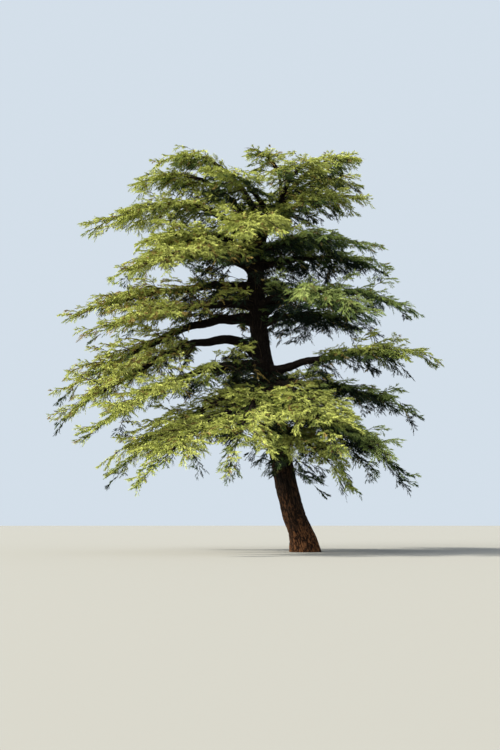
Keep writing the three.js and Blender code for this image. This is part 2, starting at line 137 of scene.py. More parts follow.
# The parts of the crown that are joined into one piece of wood, one of twigs and one of needles each.
PLACES = {
    "crown": ("top", "left_crown", "front_crown_left", "front_crown_right", "right_crown", "back_crown"),
    "left_high": ("left_upper", "left_high", "left_front_high", "left_front_mid"),
    "left_mid": ("left_mid", "left_spur", "left_low_mid"),
    "left_low": ("left_low", "left_low_front"),
    "left_skirt": ("left_skirt_front", "left_skirt_back"),
    "front": ("front_high", "front_low", "front_low_right", "front_skirt"),
    "right_high": ("right_upper", "right_upper_front", "right_high", "right_high_back"),
    "right_mid": ("right_mid", "right_mid_front", "right_low_front", "right_low"),
    "right_skirt": ("right_skirt_front", "right_skirt_back"),
    "back_high": ("back_high_left", "back_high_right"),
    "back_low": ("back_mid", "back_mid_right", "back_low"),
}

GIRTH_PER_REACH = 0.045  # a bough's diameter at the trunk, as a share of its reach
SMALL_GIRTH = 0.07
TIP_RADIUS = 0.022
TAPER_POWER = 0.85
COLLAR = 0.2  # how much a bough swells where it leaves the trunk
COLLAR_LENGTH = 0.42
CURVE_HANDLES = (0.3, 0.65)  # how far along its reach the two handles of a bough's curve stand
CHORDS = 200  # straight pieces that its length is added up from

LAST_SPRAY = 0.9  # the stem stops this many spray lengths short of the tip, and its last spray goes on
SPREAD_PER_REACH = 0.44  # a mass's width, as a share of its bough's reach
SMALL_SPREAD = 2.3
TWIG_SPACING = 1.3
TWIGS_MIN = 3
TWIGS_MAX = 5
TWIG_SPAN = (0.06, 0.94)  # the part of the stem that carries twigs
TWIG_PLACE = 0.25  # how far along its own stretch of the stem a twig stands at least
TWIG_PLACE_SWING = 0.4
TWIG_SHARE = 0.28  # a twig's length, as a share of the mass's width
TWIG_PROFILE = (0.3, 0.86)  # where on a half turn of a sine the twigs' lengths start and end
TWIG_LEAST = 0.85  # by chance a length is this share of itself, or more by up to the swing
TWIG_SWING = 0.3
TWIG_SAG = 0.24
TWIG_ROOT = 0.042  # its radius where it leaves the stem
TWIG_TIP = 0.016
TWIG_TURN = (72, 40)  # away from the stem, at the stem's root and at its tip
TWIG_TURN_SWING = 12
TWIG_RISE = (14, 6)
TWIG_RISE_SWING = 16
TWIG_TRIES = (1, 0.75, 0.5)  # shares of its length, tried in turn until it fits
TWIG_TESTS = (0.6, 1)  # the points on a twig that have to be clear of the limbs

SPRAY_SHARE = 0.44  # a spray's length, as a share of the mass's width
SPRAY_MIN = 1.7
SPRAY_MAX = 2.8
SPRAY_LEAST = 0.9
SPRAY_SWING = 0.2
SPRAY_WIDTH = 0.58  # as a share of its length
SPRAY_SAG = 0.3
SPRAY_APART = 0.34  # two sprays' hearts stay this far apart, as a share of a spray's length
STEM_SPRAY_SPACING = 0.85
STEM_SPRAY_PLACE = 0.3  # how far along its own stretch of the stem a spray stands at least
STEM_SPRAY_SWING = 0.6
TWIG_SPRAY_SPAN = (0.35, 0.6)  # the part of a twig that its side spray may sit on
SPRAY_TRIES = 7
TRY_SHRINK = 0.94  # each new try is this much smaller than the last
LIMB_CLEARANCE = 0.12  # a twig or spray keeps this far from limbs that it doesn't grow on
SPACE_MARGIN = 0.05  # a point is this much nearer to its own stem than to any other

# The kinds of seat a spray can have: how far it may turn, lean and roll either way, and its size.
STEM_END_SEAT = {"turn": 0, "lean": 4, "roll": 20, "size": 1.1, "sunk": 0.16}
TWIG_END_SEAT = {"turn": 6, "lean": 6, "roll": 45, "size": 1, "sunk": 0.1}
TWIG_SIDE_SEAT = {"turn": 24, "lean": 28, "roll": 55, "size": 0.95}
STEM_SIDE_SEAT = {"turn": 28, "lean": 22, "roll": 50, "size": 0.95}
TWIG_SIDE_TURN = 46  # away from the twig
TWIG_SIDE_RISE = -12
STEM_SIDE_TURN = 55  # away from the stem
STEM_SIDE_RISE = 20
SIDE_SUNK = 0.3  # how deep a side spray's root is sunk, as a share of the limb's radius

# The outline of a spray, from its root round both sides: share of the length, share of the width.
SPRAY_OUTLINE = ((0, 0), (0.62, 0.5), (0.62, 0.2), (1, 0.04), (0.6, -0.16), (0.76, -0.46))
SPRAY_INSIDE = ((0.25, 0), (0.4, 0.25), (0.4, -0.25), (0.75, 0))

# Finer twigs leave the stem between the others, and finer sprays sit on all twigs and on the stem.
FINE_SEED = 300
FINE_TWIG_SPACING = 0.55
FINE_TWIG_PAIRS_MIN = 3
FINE_TWIG_SPAN = (0.02, 0.98)
LUSH = {"crown": 1.5, "left_high": 1.2, "right_high": 1.15}  # how much closer the finer twigs stand there
FINE_TWIG_SHARE = 0.36
FINE_TWIG_LENGTH = (0.7, 1.1)
FINE_TWIG_PROFILE = (0.28, 0.97)  # where on a half turn of a sine the widths of the plate start and end
FINE_TWIG_RISE = (-8, 7)
FINE_TWIG_SAG = 0.26
FINE_TWIG_TRIES = (1, 0.72, 0.45, 0.25)
FINE_TWIG_TESTS = (0.5, 1)
FINE_TWIG_ROOT = 0.026
FINE_TWIG_TIP = 0.008
FINE_LEEWAY = 0.25  # how far into another mass's space a finer twig or spray may reach
LEADER_OVERLAP = 0.02
LEADER_END = 0.95  # a thin leader carries the stem on to this share of its bough's length
FINE_SPRAY_SPACING = 0.425
FINE_SPRAYS_MIN = 2
STEM_CROWDING = 1.7  # how much closer together they sit on a stem than on a twig
STEM_SEAT = 0.5  # how far above a stem's middle they are rooted, as a share of its radius
FINE_SPRAY_LENGTH = (0.8, 1.2)
FINE_SPRAY_TAPER = (1.1, 0.75)  # their size at the root and at the tip of the limb they sit on
FINE_SPRAY_TURN = (12, 42)
FINE_SPRAY_TURN_SWING = 10
FINE_SPRAY_RISES = (18, 5, 0, -8, -20)
FINE_SPRAY_FOLLOW = (0.1, 1)  # how much of its limb's own slope a spray keeps
FINE_SPRAY_ROLL = 18
FINE_SPRAY_SAG = 0.14
FINE_SPRAY_TRIES = (1, 0.8, 0.6)
PLACE_SPAN = (0.1, 0.9)  # the part of its own stretch of a limb that a finer spray or a feather may stand on
RIB_SPRAYS = (0.08, 0.66)  # where the greater sprays' ribs carry finer ones, as shares of the rib
REACH_LEEWAY = (0.12, 0.12, -0.12)  # how far past the tree's box finer growth may reach, below 0 short of it

# Inner twigs stand on the bare part of a bough and on the trunk, thinly leafed or bare.
INNER_SEED = 700
ON_TRUNK = len(BOUGHS)  # the number that stands for the trunk's own twigs, past those of the boughs
INNER_START = 0.07  # the share of its bough's length where they begin
INNER_SPACING = 0.075
INNER_LENGTH = (0.6, 2.3)
INNER_TURN = (35, 100)
INNER_RISE = (-38, 48)
INNER_SAG = 0.2
INNER_CLEARANCE = 0.03
INNER_LEAFY = 0.5  # the share of them that carry sprays
INNER_SPRAY_START = 0.35
INNER_TESTS = (0.35, 0.7, 1)  # the points on one that have to lie out of the openings
TRUNK_TWIGS = 160
TRUNK_TWIG_SEAT = 0.8  # where they are rooted, as a share of the trunk's radius
TRUNK_TWIG_HEIGHTS = (4.4, 18.4)
TRUNK_TWIG_LENGTH = (0.7, 1.7)

# Where the crown stays open to the sky, on the upright plane through the trunk's foot as it is seen from
# the eye: middle and half size across and up. What grows on the trunk and on bare boughs keeps out of the
# openings, and all finer growth out of the notches.
OPENINGS = (
    (-4.9, 12.0, 1.5, 0.95),
    (-3.55, 15.5, 0.45, 0.6),
    (-0.7, 11.2, 1.3, 1.35),
    (1.35, 11.8, 0.6, 0.8),
    (-5.6, 10.75, 0.5, 0.55),
)
NOTCHES = (
    (-11.3, 19.8, 1.4, 0.9),
    (4.5, 21.8, 1.2, 1.4),
    (4.0, 18.0, 2.1, 0.8),
    (-10.9, 16.5, 1.4, 0.6),
    (6.4, 12.2, 0.9, 0.7),
)

# The trunk and boughs as they show: rings, sides and bark.
TRUNK_SIDES = 120
TRUNK_STEPS = 320
FOOT_CROWDING = 0.6  # how much closer together the rings are near the ground
BOUGH_SIDES = 22
BOUGH_RING_SPACING = 0.1
BOUGH_START = 0.6  # a bough starts inside the trunk, this share of its radius from its middle
BARK_THICKNESS = 0.035  # how far the bark stands out from the solid wood
WANDER = 0.9  # how far a bough winds from side to side, as a share of its radius
WANDER_LENGTH = 1.1
WANDER_SEED = 1100
SWELL = 0.16  # slow swells of the bark, as a share of the radius
FURROW_WIDTH = 0.22
SCALE_DEPTH = 0.4  # as a share of the furrows' depth
MOST_RELIEF = 0.16  # the deepest relief, as a share of the radius
GRAIN_APART = 10  # how much further along the grain each bough starts than the last, so that none are alike

# The grain of the swells, furrows and scales: how often each repeats per metre across and along a limb, and
# how far along it starts.
SWELL_GRAIN = (1.6, 0.7, 7)
FURROW_GRAIN = (8, 1.5, 0)
SCALE_GRAIN = (17, 5, 3)

# Feathers: the small sprays of shoots along both sides of every spray's rib.
FEATHER_SEED = 500
NEEDLE_SEED = 900
FEATHER_SPACING = 0.15
FEATHERS_MIN = 5
FEATHER_SPAN = (0.04, 0.9)  # the part of the rib that carries them
LAST_FEATHER = (0.82, 0.04)  # the one on its tip: share of the rib, of the width
FEATHER_SIZE = (0.7, 1)
FEATHER_LIFT = (-0.05, 0.1)  # how far their tips stand below or above the spray, as a share of its length
FEATHER_HANG = 0.55  # how far the most drooping feathers hang, as a share of their length
HANG_POWER = 3  # the higher, the fewer feathers hang far
FEATHER_REACH = ((0, 0.1), (0.3, 0.34), (0.6, 0.5), (0.8, 0.44), (1, 0.1))  # share of the rib, of the width
FEATHER_FORWARD = 0.85  # how far along the rib their tips lie ahead of their roots, as a share of their reach
FEATHER_LEAD = 0.06
FEATHER_CLEARANCE = 0.04
SHOOTS = 4
SHOOT_PLACE = 0.6  # where on its own stretch of the feather a shoot stands
SHOOT_PLACE_SWING = 0.05
SHOOT_TILT = 0.35
SHOOT_SPLAY = 0.38
SHOOT_DROOP = 0.12
SHOOT_SWING = 0.12
SHOOT_SHARE = 0.75
SHOOT_TAPER = 0.45
SHOOT_LIMITS = (0.1, 0.34)
LENGTH_SPAN = (0.75, 1.2)  # how far the lengths of shoots and needles vary
NEEDLES = 6
NEEDLE_SPAN = (0.2, 1)  # the part of its own stretch of the shoot that a needle may stand on
NEEDLE_FORWARD = 1.7
NEEDLE_FLATNESS = 0.7  # how much needles spread up and down, as a share of how much they spread aside
RIB_ROOT = 0.02
RIB_TIP = 0.006
RIB_STATIONS = (0, 0.4, 0.85)
RIB_SIDES = 3
TWIG_STATIONS = 5
TWIG_SIDES = 4
STALK_RADIUS = 0.008
CORE_RADIUS = 0.02

# How the painted light on a feather is worked out, which picks its green: the greens are one green under more
# and less painted light. 0 is the darkest and 1 the brightest.
GREENS = 9
NAMED_GREENS = ("shade", "deep", "middle", "lit_green", "bright")
LIGHT_STEPS = 24
MEAN_LIGHT = 0.6
PLATE_HALF = 0.5  # half the height of a plate of needles
MOST_ABOVE = 1.3  # past this many such halves above or below the stem the light stays the same
ABOVE_LIGHT = 0.68  # more light on top of a plate than in its middle
RIM_LIGHT = 0.48  # more light at the rim of a mass than at its root
LIGHT_PER_METRE = 0.034  # higher up
MIDDLE_HEIGHT = 13
RIM_LIFT = 0.35  # a plate hangs towards its rim, by this share of the way from its stem
INNER_SHADE = 0.4
INNER_SHARE = 0.85  # the share of a bough's bare part whose twigs are in the shade
SPRAY_LIGHT_SWING = 0.13
LIGHT_SWING = 0.04
TRUNK_LIGHT = 0.2  # the light on the trunk's own twigs
SIDE_LIGHT = {"left": 0.04, "right": -0.04, "front": -0.07, "back": -0.04}

# The masses that the rest of the crown shades, how much less painted light they get, and how their greens
# differ: cooler, as painted shade.
SHADED = (
    "right_high", "right_high_back", "right_mid", "right_mid_front", "right_low", "right_skirt_front",
    "right_skirt_back", "back_high_right", "back_mid_right",
)
SIDE_SHADE = 0.22
COOL_TONE = (0.86, 0.96, 1.2)

# The share of feathers that have browned.
BROWNED = {"left_front_mid": 0.12, "left_spur": 0.2, "left_mid": 0.18, "left_low": 0.16, "left_low_mid": 0.16}
BROWNED_ELSEWHERE = 0.04

# The lights: azimuth, height above the level and softness, in degrees, and tone.
KEY_LIGHT = (185, 34, 8, (1, 0.94, 0.8))
FRONT_LIGHT = (228, 34, 40, (1, 0.97, 0.9))
FLOOR_RADIUS = 400
SHEEN = 0.08  # how much light the surfaces throw back as a gloss

UP = np.array((0.0, 0.0, 1.0))
ASKEW = UP + 0.01  # a way that no twig goes
EYE = np.array((-2.99, -57, 1.6))  # where the camera stands


def lerp(a, b, t):
    return a + (b - a) * t


def clamp(value, low, high):
    return min(max(value, low), high)


def unit(v):
    return v / np.linalg.norm(v, axis=-1, keepdims=True)


def seeded(seed):
    """A repeatable run of numbers between 0 and 1."""
    states = 2147483647
    state = (seed * 7919 + 104729) % states
    while True:
        state = state * 48271 % states
        yield state / states


def station_value(table, height, column):
    """Reads one column of a table of stations at a height, as a smooth curve through them."""
    k = 0
    while k < len(table) - 2 and height > table[k + 1][0]:
        k += 1

    def slope(i):
        a = table[max(i - 1, 0)]
        b = table[min(i + 1, len(table) - 1)]
        return (b[column] - a[column]) / (b[0] - a[0])

    low, high = table[k], table[k + 1]
    step = high[0] - low[0]
    s = (height - low[0]) / step
    s2, s3 = s * s, s * s * s
    return (
        (2 * s3 - 3 * s2 + 1) * low[column]
        + (s3 - 2 * s2 + s) * step * slope(k)
        + (3 * s2 - 2 * s3) * high[column]
        + (s3 - s2) * step * slope(k + 1)
    )


def trunk_middle(height):
    return np.array((station_value(TRUNK, height, 1), station_value(TRUNK, height, 2), height))


def trunk_radius(height, angle):
    lobes = 1 + ROOT_LOBE_DEPTH * math.cos(ROOT_LOBES * angle)
    flare = 1 + FLARE * lobes * math.exp(-height / FLARE_HEIGHT)
    return station_value(TRUNK, height, 3) / 2 * flare


def direction(heading, rise):
    """Unit vectors from headings about +Z and rises above the level, in radians."""
    level = np.cos(rise)
    return np.stack((np.cos(heading) * level, np.sin(heading) * level, np.sin(rise)), axis=-1)


def heading_of(way):
    return np.arctan2(way[..., 1], way[..., 0])


def each(values):
    """Numbers with one more axis, so that each multiplies a vector."""
    return np.asarray(values, float)[..., None]


class Bough:
    """A row of BOUGHS as a curve from the trunk's middle to the mass's tip."""

    def __init__(self, number, row):
        self.number = number
        self.name, azimuth, reach, start, tip, near_lift, far_lift, self.bare = row
        heading = math.radians(azimuth)
        root = trunk_middle(start)

        def at(share, lift):
            point = root + direction(heading, 0) * reach * share
            point[2] = lerp(start, tip, share) + lift
            return point

        near, far = CURVE_HANDLES
        self.corners = (root, at(near, near_lift), at(far, far_lift), at(1, 0))
        self.girth = SMALL_GIRTH + GIRTH_PER_REACH * reach
        self.spread = SMALL_SPREAD + SPREAD_PER_REACH * reach
        self.spray = clamp(SPRAY_SHARE * self.spread, SPRAY_MIN, SPRAY_MAX)
        chords = [self.point(i / CHORDS) for i in range(CHORDS + 1)]
        self.length = sum(np.linalg.norm(b - a) for a, b in zip(chords, chords[1:]))
        self.end = 1 - LAST_SPRAY * self.spray / self.length

    def point(self, t):
        k = 1 - t
        a, b, c, d = self.corners
        return k * k * k * a + 3 * k * k * t * b + 3 * k * t * t * c + t * t * t * d

    def tangent(self, t):
        step = 0.0001
        return unit(self.point(min(t + step, 1)) - self.point(max(t - step, 0)))

    def radius(self, t):
        plain = lerp(self.girth / 2, TIP_RADIUS, t**TAPER_POWER)
        from_trunk = max(0, t * self.length - self.girth)
        return plain * (1 + COLLAR * math.exp(-from_trunk / COLLAR_LENGTH))

    def line(self, start, end, steps=6):
        return np.array([self.point(lerp(start, end, i / steps)) for i in range(steps + 1)])


class Shoot:
    """A straight-rooted shoot that sags towards its tip: a twig, or the rib of a spray.

    It may also be many shoots at once, with one row for each in every value.
    """

    def __init__(self, at, heading, rise, length, sag):
        self.at, self.heading, self.rise, self.length, self.sag = at, heading, rise, length, sag
        self.way = direction(heading, rise)

    def point(self, share):
        share = np.asarray(share, float)
        return self.at + self.way * each(self.length * share) - UP * each(self.sag * self.length * share**2)

    def tangent(self, share):
        return unit(self.way - UP * each(2 * self.sag * share))


class Spray(Shoot):
    """A flat fan of shoots about a rib, hanging a little on both sides, or many such fans at once."""

    def __init__(self, at, heading, rise, length, roll, hand, sag=SPRAY_SAG):
        super().__init__(at, heading, rise, length, sag)
        self.roll, self.hand = roll, hand
        self.level = direction(heading + math.pi / 2, 0 * heading)
        self.above = direction(heading, rise + math.pi / 2)

    def places(self, share, across, height):
        """Points on the spray, by shares of its length and of its width, and heights above the rib."""
        width = SPRAY_WIDTH * self.length
        cos, sin = np.cos(self.roll), np.sin(self.roll)
        aside = self.level * each(width * across * cos - height * sin)
        lift = self.above * each(width * across * sin + height * cos)
        return self.point(share) + aside + lift - UP * each(self.sag * width * np.abs(across))

    def samples(self):
        spots = np.array(SPRAY_OUTLINE[1:] + SPRAY_INSIDE)
        return self.places(spots[:, 0], spots[:, 1] * self.hand, 0 * spots[:, 0])


def fields_of(spray):
    return spray.at, spray.heading, spray.rise, spray.length, spray.roll, spray.hand, spray.sag


def gathered(sprays):
    """Several sprays as one with a row for each."""
    return Spray(*(np.array(values)[:, None] for values in zip(*map(fields_of, sprays))))


def chosen(sprays, rows):
    return Spray(*(values[rows] for values in fields_of(sprays)))


def both(some, others):
    return Spray(*(np.concatenate(pair) for pair in zip(fields_of(some), fields_of(others))))


class Space:
    """The limbs of the whole tree, and whether points keep to the space of one bough's mass."""

    def __init__(self, boughs):
        self.leafy = np.array([b.line(b.bare, b.end) for b in boughs])
        bare = [b for b in boughs if b.bare > 0]
        self.bare = np.array([b.line(0, b.bare) for b in bare])
        self.bare_width = np.array([b.radius(BOUGH_WIDTH_AT) for b in bare])
        self.trunk = np.array([[trunk_middle(TRUNK_TOP * i / TRUNK_LINKS) for i in range(TRUNK_LINKS + 1)]])
        self.heights = np.linspace(0, TRUNK_TOP, TRUNK_WIDTHS)
        self.widths = np.array([trunk_radius(height, 0) for height in self.heights])

    @staticmethod
    def distances(lines, points):
        """The distance from each point to each of several lines of points."""
        start = lines[:, :-1]
        step = lines[:, 1:] - start
        to = points[:, None, None] - start
        t = np.clip((to * step).sum(-1) / (step * step).sum(-1), 0, 1)
        return np.linalg.norm(to - t[..., None] * step, axis=-1).min(-1)

    def clears(self, points, clearance):
        """For each point, whether it is above the ground and clear of the trunk and of every bare limb."""
        trunk_width = np.interp(points[:, 2], self.heights, self.widths)
        return (
            (points[:, 2] >= clearance)
            & (self.distances(self.trunk, points)[:, 0] >= trunk_width + clearance)
            & (self.distances(self.bare, points) >= self.bare_width + clearance).all(-1)
        )

    def keeps(self, points, own, margin=SPACE_MARGIN, clearance=LIMB_CLEARANCE):
        """For each point, whether it also is nearest to its own mass's stem."""
        to_leafy = self.distances(self.leafy, points)
        mine = to_leafy[:, own.number].copy()
        to_leafy[:, own.number] = np.inf
        return self.clears(points, clearance) & (to_leafy.min(-1) > mine + margin)


@lru_cache(maxsize=None)
def all_boughs():
    return tuple(Bough(number, row) for number, row in enumerate(BOUGHS))


@lru_cache(maxsize=None)
def crown_space():
    return Space(all_boughs())


def twigs_of(bough, chance):
    """The twigs of one mass. They leave its stem on both sides in turn, or all round it on the top."""
    leafy = bough.length * (bough.end - bough.bare)
    count = clamp(round(leafy / TWIG_SPACING), TWIGS_MIN, TWIGS_MAX)
    twigs = []
    for k in range(count):
        along = (k + TWIG_PLACE + TWIG_PLACE_SWING * next(chance)) / count
        t = lerp(bough.bare, bough.end, lerp(*TWIG_SPAN, along))
        side = 1 if k % 2 else -1
        turn = math.radians(lerp(*TWIG_TURN, along) + TWIG_TURN_SWING * (next(chance) - 0.5))
        rise = math.radians(lerp(*TWIG_RISE, along) + TWIG_RISE_SWING * (next(chance) - 0.5))
        heading = math.radians(360 / count * k)
        if bough.name != TOP:
            heading = heading_of(bough.tangent(t)) + side * turn
        width = math.sin(math.pi * lerp(*TWIG_PROFILE, along))
        longest = TWIG_SHARE * (TWIG_LEAST + TWIG_SWING * next(chance)) * bough.spread * width
        for share in TWIG_TRIES:
            twig = Shoot(bough.point(t), heading, rise, longest * share, TWIG_SAG)
            twig.side = side
            if crown_space().keeps(twig.point(TWIG_TESTS), bough).all():
                twigs.append(twig)
                break
    return twigs


def seat_along(at, way, kind):
    """A seat whose spray carries on the way that the limb under it goes."""
    return {**kind, "at": at, "heading": heading_of(way), "rise": math.asin(way[2])}


def spray_seats(bough, twigs, chance):
    """Where a mass may carry sprays: the stem's tip, each twig's tip and side, and between the twigs."""
    bare, end = bough.bare, bough.end
    seats = [seat_along(bough.point(end), bough.tangent(end), STEM_END_SEAT)]
    for twig in twigs:
        seats.append(seat_along(twig.point(1), twig.tangent(1), TWIG_END_SEAT))
        share = lerp(*TWIG_SPRAY_SPAN, next(chance))
        seats.append({
            **TWIG_SIDE_SEAT,
            "at": twig.point(share),
            "heading": heading_of(twig.tangent(share)) + twig.side * math.radians(TWIG_SIDE_TURN),
            "rise": math.radians(TWIG_SIDE_RISE),
            "sunk": SIDE_SUNK * lerp(TWIG_ROOT, TWIG_TIP, share),
        })
    on_stem = round(bough.length * (end - bare) / STEM_SPRAY_SPACING)
    for k in range(on_stem):
        along = (k + STEM_SPRAY_PLACE + STEM_SPRAY_SWING * next(chance)) / on_stem
        t = lerp(bare, end, along)
        side = -1 if k % 2 else 1
        seats.append({
            **STEM_SIDE_SEAT,
            "at": bough.point(t),
            "heading": heading_of(bough.tangent(t)) + side * math.radians(STEM_SIDE_TURN),
            "rise": math.radians(STEM_SIDE_RISE),
            "sunk": SIDE_SUNK * bough.radius(t),
        })
    return seats


def spray_on(seat, bough, shrink, chance):
    """One try at a spray on a seat, turned, leant and rolled by chance."""
    def swing(kind):
        return math.radians(seat[kind]) * (2 * next(chance) - 1)

    heading = seat["heading"] + swing("turn")
    rise = seat["rise"] + swing("lean")
    length = bough.spray * seat["size"] * shrink * (SPRAY_LEAST + SPRAY_SWING * next(chance))
    root = seat["at"] - direction(heading, rise) * seat["sunk"]
    roll = swing("roll")
    return Spray(root, heading, rise, length, roll, -1 if next(chance) < 0.5 else 1)


def sprays_of(bough, twigs, chance):
    """The sprays of one mass. Each seat has a few tries, and stays empty where none fits."""
    sprays = []
    for seat in spray_seats(bough, twigs, chance):
        for attempt in range(SPRAY_TRIES):
            spray = spray_on(seat, bough, TRY_SHRINK**attempt, chance)
            spray.heart = spray.places(0.5, 0, 0)
            apart = SPRAY_APART * spray.length
            crowded = any(np.linalg.norm(spray.heart - other.heart) < apart for other in sprays)
            if not crowded and crown_space().keeps(spray.samples(), bough).all():
                sprays.append(spray)
                break
    return sprays


def within_reach(points):
    """Whether points lie in the tree's own box, give or take a little."""
    low, high = np.array(CAD_BOX)
    return ((points > low - REACH_LEEWAY) & (points < high + REACH_LEEWAY)).all(-1)


def in_opening(points, openings=OPENINGS):
    """Whether points lie where the crown stays open to the sky, seen from the eye."""
    nearer = EYE[1] / (EYE[1] - points[..., 1])
    x, z = (EYE[axis] + (points[..., axis] - EYE[axis]) * nearer for axis in (0, 2))
    return np.any([((x - a) / w) ** 2 + ((z - b) / h) ** 2 < 1 for a, b, w, h in openings], axis=0)


def first_kept(bough, tries):
    """For every row, the number of the first try whose points all keep to the mass's space, or -1.

    With no bough, the points only have to be clear of the limbs.
    """
    kept = []
    for points in tries:
        flat = points.reshape(-1, 3)
        if bough:
            fits = crown_space().keeps(flat, bough, -FINE_LEEWAY)
        else:
            fits = crown_space().clears(flat, INNER_CLEARANCE) & ~in_opening(flat)
        fits &= within_reach(flat) & ~in_opening(flat, NOTCHES)
        kept.append(fits.reshape(len(points), -1).all(-1))
    return np.where(np.any(kept, axis=0), np.argmax(kept, axis=0), -1)


def fine_twigs_of(bough, chance):
    """Lesser twigs on both sides of the stem, between the others, as one shoot with a row for each."""
    leafy = bough.length * (bough.end - bough.bare)
    lush = next(LUSH.get(place, 1) for place, names in PLACES.items() if bough.name in names)
    count = 2 * max(FINE_TWIG_PAIRS_MIN, round(leafy / FINE_TWIG_SPACING * lush))
    number = np.arange(count)
    along = (number + chance.uniform(0, 1, count)) / count
    t = lerp(bough.bare, bough.end, lerp(*FINE_TWIG_SPAN, along))
    side = np.where(number % 2, 1, -1)
    turn = side * np.radians(lerp(*TWIG_TURN, along) + chance.uniform(-1, 1, count) * TWIG_TURN_SWING)
    heading = np.array([heading_of(bough.tangent(s)) for s in t]) + turn
    if bough.name == TOP:
        heading = chance.uniform(0, 2 * math.pi, count)
    rise = np.radians(chance.uniform(*FINE_TWIG_RISE, count))
    width = np.sin(math.pi * lerp(*FINE_TWIG_PROFILE, along))
    longest = FINE_TWIG_SHARE * chance.uniform(*FINE_TWIG_LENGTH, count) * bough.spread * width
    at = np.array([bough.point(s) for s in t])
    tries = [longest * share for share in FINE_TWIG_TRIES]

    def tested(size):
        shoots = Shoot(*(values[:, None] for values in (at, heading, rise, size)), FINE_TWIG_SAG)
        return shoots.point(FINE_TWIG_TESTS)

    first = first_kept(bough, [tested(size) for size in tries])
    size = np.array(tries)[first, number]
    return [Shoot(at[k], heading[k], rise[k], size[k], FINE_TWIG_SAG) for k in number[first >= 0]]


def stem_limb(bough):
    """The stem of a mass as a limb whose sprays stand close and a little above its middle."""
    def point(t):
        return bough.point(t) + UP * STEM_SEAT * bough.radius(t)

    crowded = STEM_CROWDING * bough.length * (LEADER_END - bough.bare)
    return point, bough.tangent, bough.bare, LEADER_END, crowded


def twig_limb(twig, start=0, end=1):
    return twig.point, twig.tangent, start, end, twig.length * (end - start)


def fine_sprays_of(bough, limbs, chance):
    """Smaller sprays on both sides of each limb and on its tip, in the bough's space or with no bough.

    A limb is its point(t) and tangent(t), where on it the sprays start and end, and how long that is.
    """
    at, way, turns, sizes = [], [], [], []
    for point, tangent, start, end, length in limbs:
        count = max(FINE_SPRAYS_MIN, round(length / FINE_SPRAY_SPACING))
        along = np.append((np.arange(count) + chance.uniform(*PLACE_SPAN, count)) / count, 1)
        sizes += [*lerp(*FINE_SPRAY_TAPER, along)]
        share = lerp(start, end, along)
        at += [point(s) for s in share]
        way += [tangent(s) for s in share]
        turns += [*np.where(np.arange(count) % 2, 1, -1), 0]
    count = len(at)
    way = np.array(way)
    turn = np.array(turns) * np.radians(chance.uniform(*FINE_SPRAY_TURN, count))
    swing = chance.uniform(-FINE_SPRAY_TURN_SWING, FINE_SPRAY_TURN_SWING, count)
    heading = heading_of(way) + turn + np.radians(swing)
    follow = chance.uniform(*FINE_SPRAY_FOLLOW, count)
    rise = follow * np.arcsin(way[:, 2]) + np.radians(chance.choice(FINE_SPRAY_RISES, count))
    roll = np.radians(chance.uniform(-FINE_SPRAY_ROLL, FINE_SPRAY_ROLL, count))
    size = chance.uniform(*FINE_SPRAY_LENGTH, count) * sizes
    hand = chance.choice((-1, 1), count)
    sag = np.full(count, FINE_SPRAY_SAG)

    def fans(shares):
        return Spray(*(np.asarray(a)[:, None] for a in (at, heading, rise, size * shares, roll, hand, sag)))

    tries = [fans(share).samples() for share in FINE_SPRAY_TRIES]
    first = first_kept(bough, tries)
    return chosen(fans(np.array(FINE_SPRAY_TRIES)[first]), first >= 0)


def inner_twigs_of(bough, chance):
    """The twigs on the bare part of a bough, on all its sides, but for those that would fill an opening."""
    end = max(bough.bare, INNER_START)
    count = round(bough.length * (end - INNER_START) / INNER_SPACING)
    twigs = []
    for t in chance.uniform(INNER_START, end, count):
        turn = chance.choice((-1, 1)) * math.radians(chance.uniform(*INNER_TURN))
        rise = math.radians(chance.uniform(*INNER_RISE))
        twig_length = chance.uniform(*INNER_LENGTH)
        twig = Shoot(bough.point(t), heading_of(bough.tangent(t)) + turn, rise, twig_length, INNER_SAG)
        fits = crown_space().clears(twig.point(TWIG_TESTS), INNER_CLEARANCE).all()
        if fits and not in_opening(twig.point(INNER_TESTS)).any():
            twigs.append(twig)
    return twigs


def trunk_twigs_of(chance):
    """Short twigs that stand out of the trunk on all sides, but for those that would fill an opening."""
    twigs = []
    for height in chance.uniform(*TRUNK_TWIG_HEIGHTS, TRUNK_TWIGS):
        heading = chance.uniform(0, 2 * math.pi)
        rise = math.radians(chance.uniform(*INNER_RISE))
        seat = direction(heading, 0) * TRUNK_TWIG_SEAT * trunk_radius(height, heading)
        root = trunk_middle(height) + seat
        twig = Shoot(root, heading, rise, chance.uniform(*TRUNK_TWIG_LENGTH), INNER_SAG)
        if not in_opening(twig.point(INNER_TESTS)).any():
            twigs.append(twig)
    return twigs


def inner_sprays_of(twigs, chance):
    """Sprays on the outer part of about half of the inner twigs."""
    leafy = [twig_limb(twig, INNER_SPRAY_START) for twig in twigs if chance.random() < INNER_LEAFY]
    return fine_sprays_of(None, leafy, chance)


@lru_cache(maxsize=None)
def trunk_growth():
    """The twigs that stand on the trunk, and their sprays."""
    chance = np.random.default_rng(INNER_SEED)
    twigs = trunk_twigs_of(chance)
    return twigs, inner_sprays_of(twigs, chance)


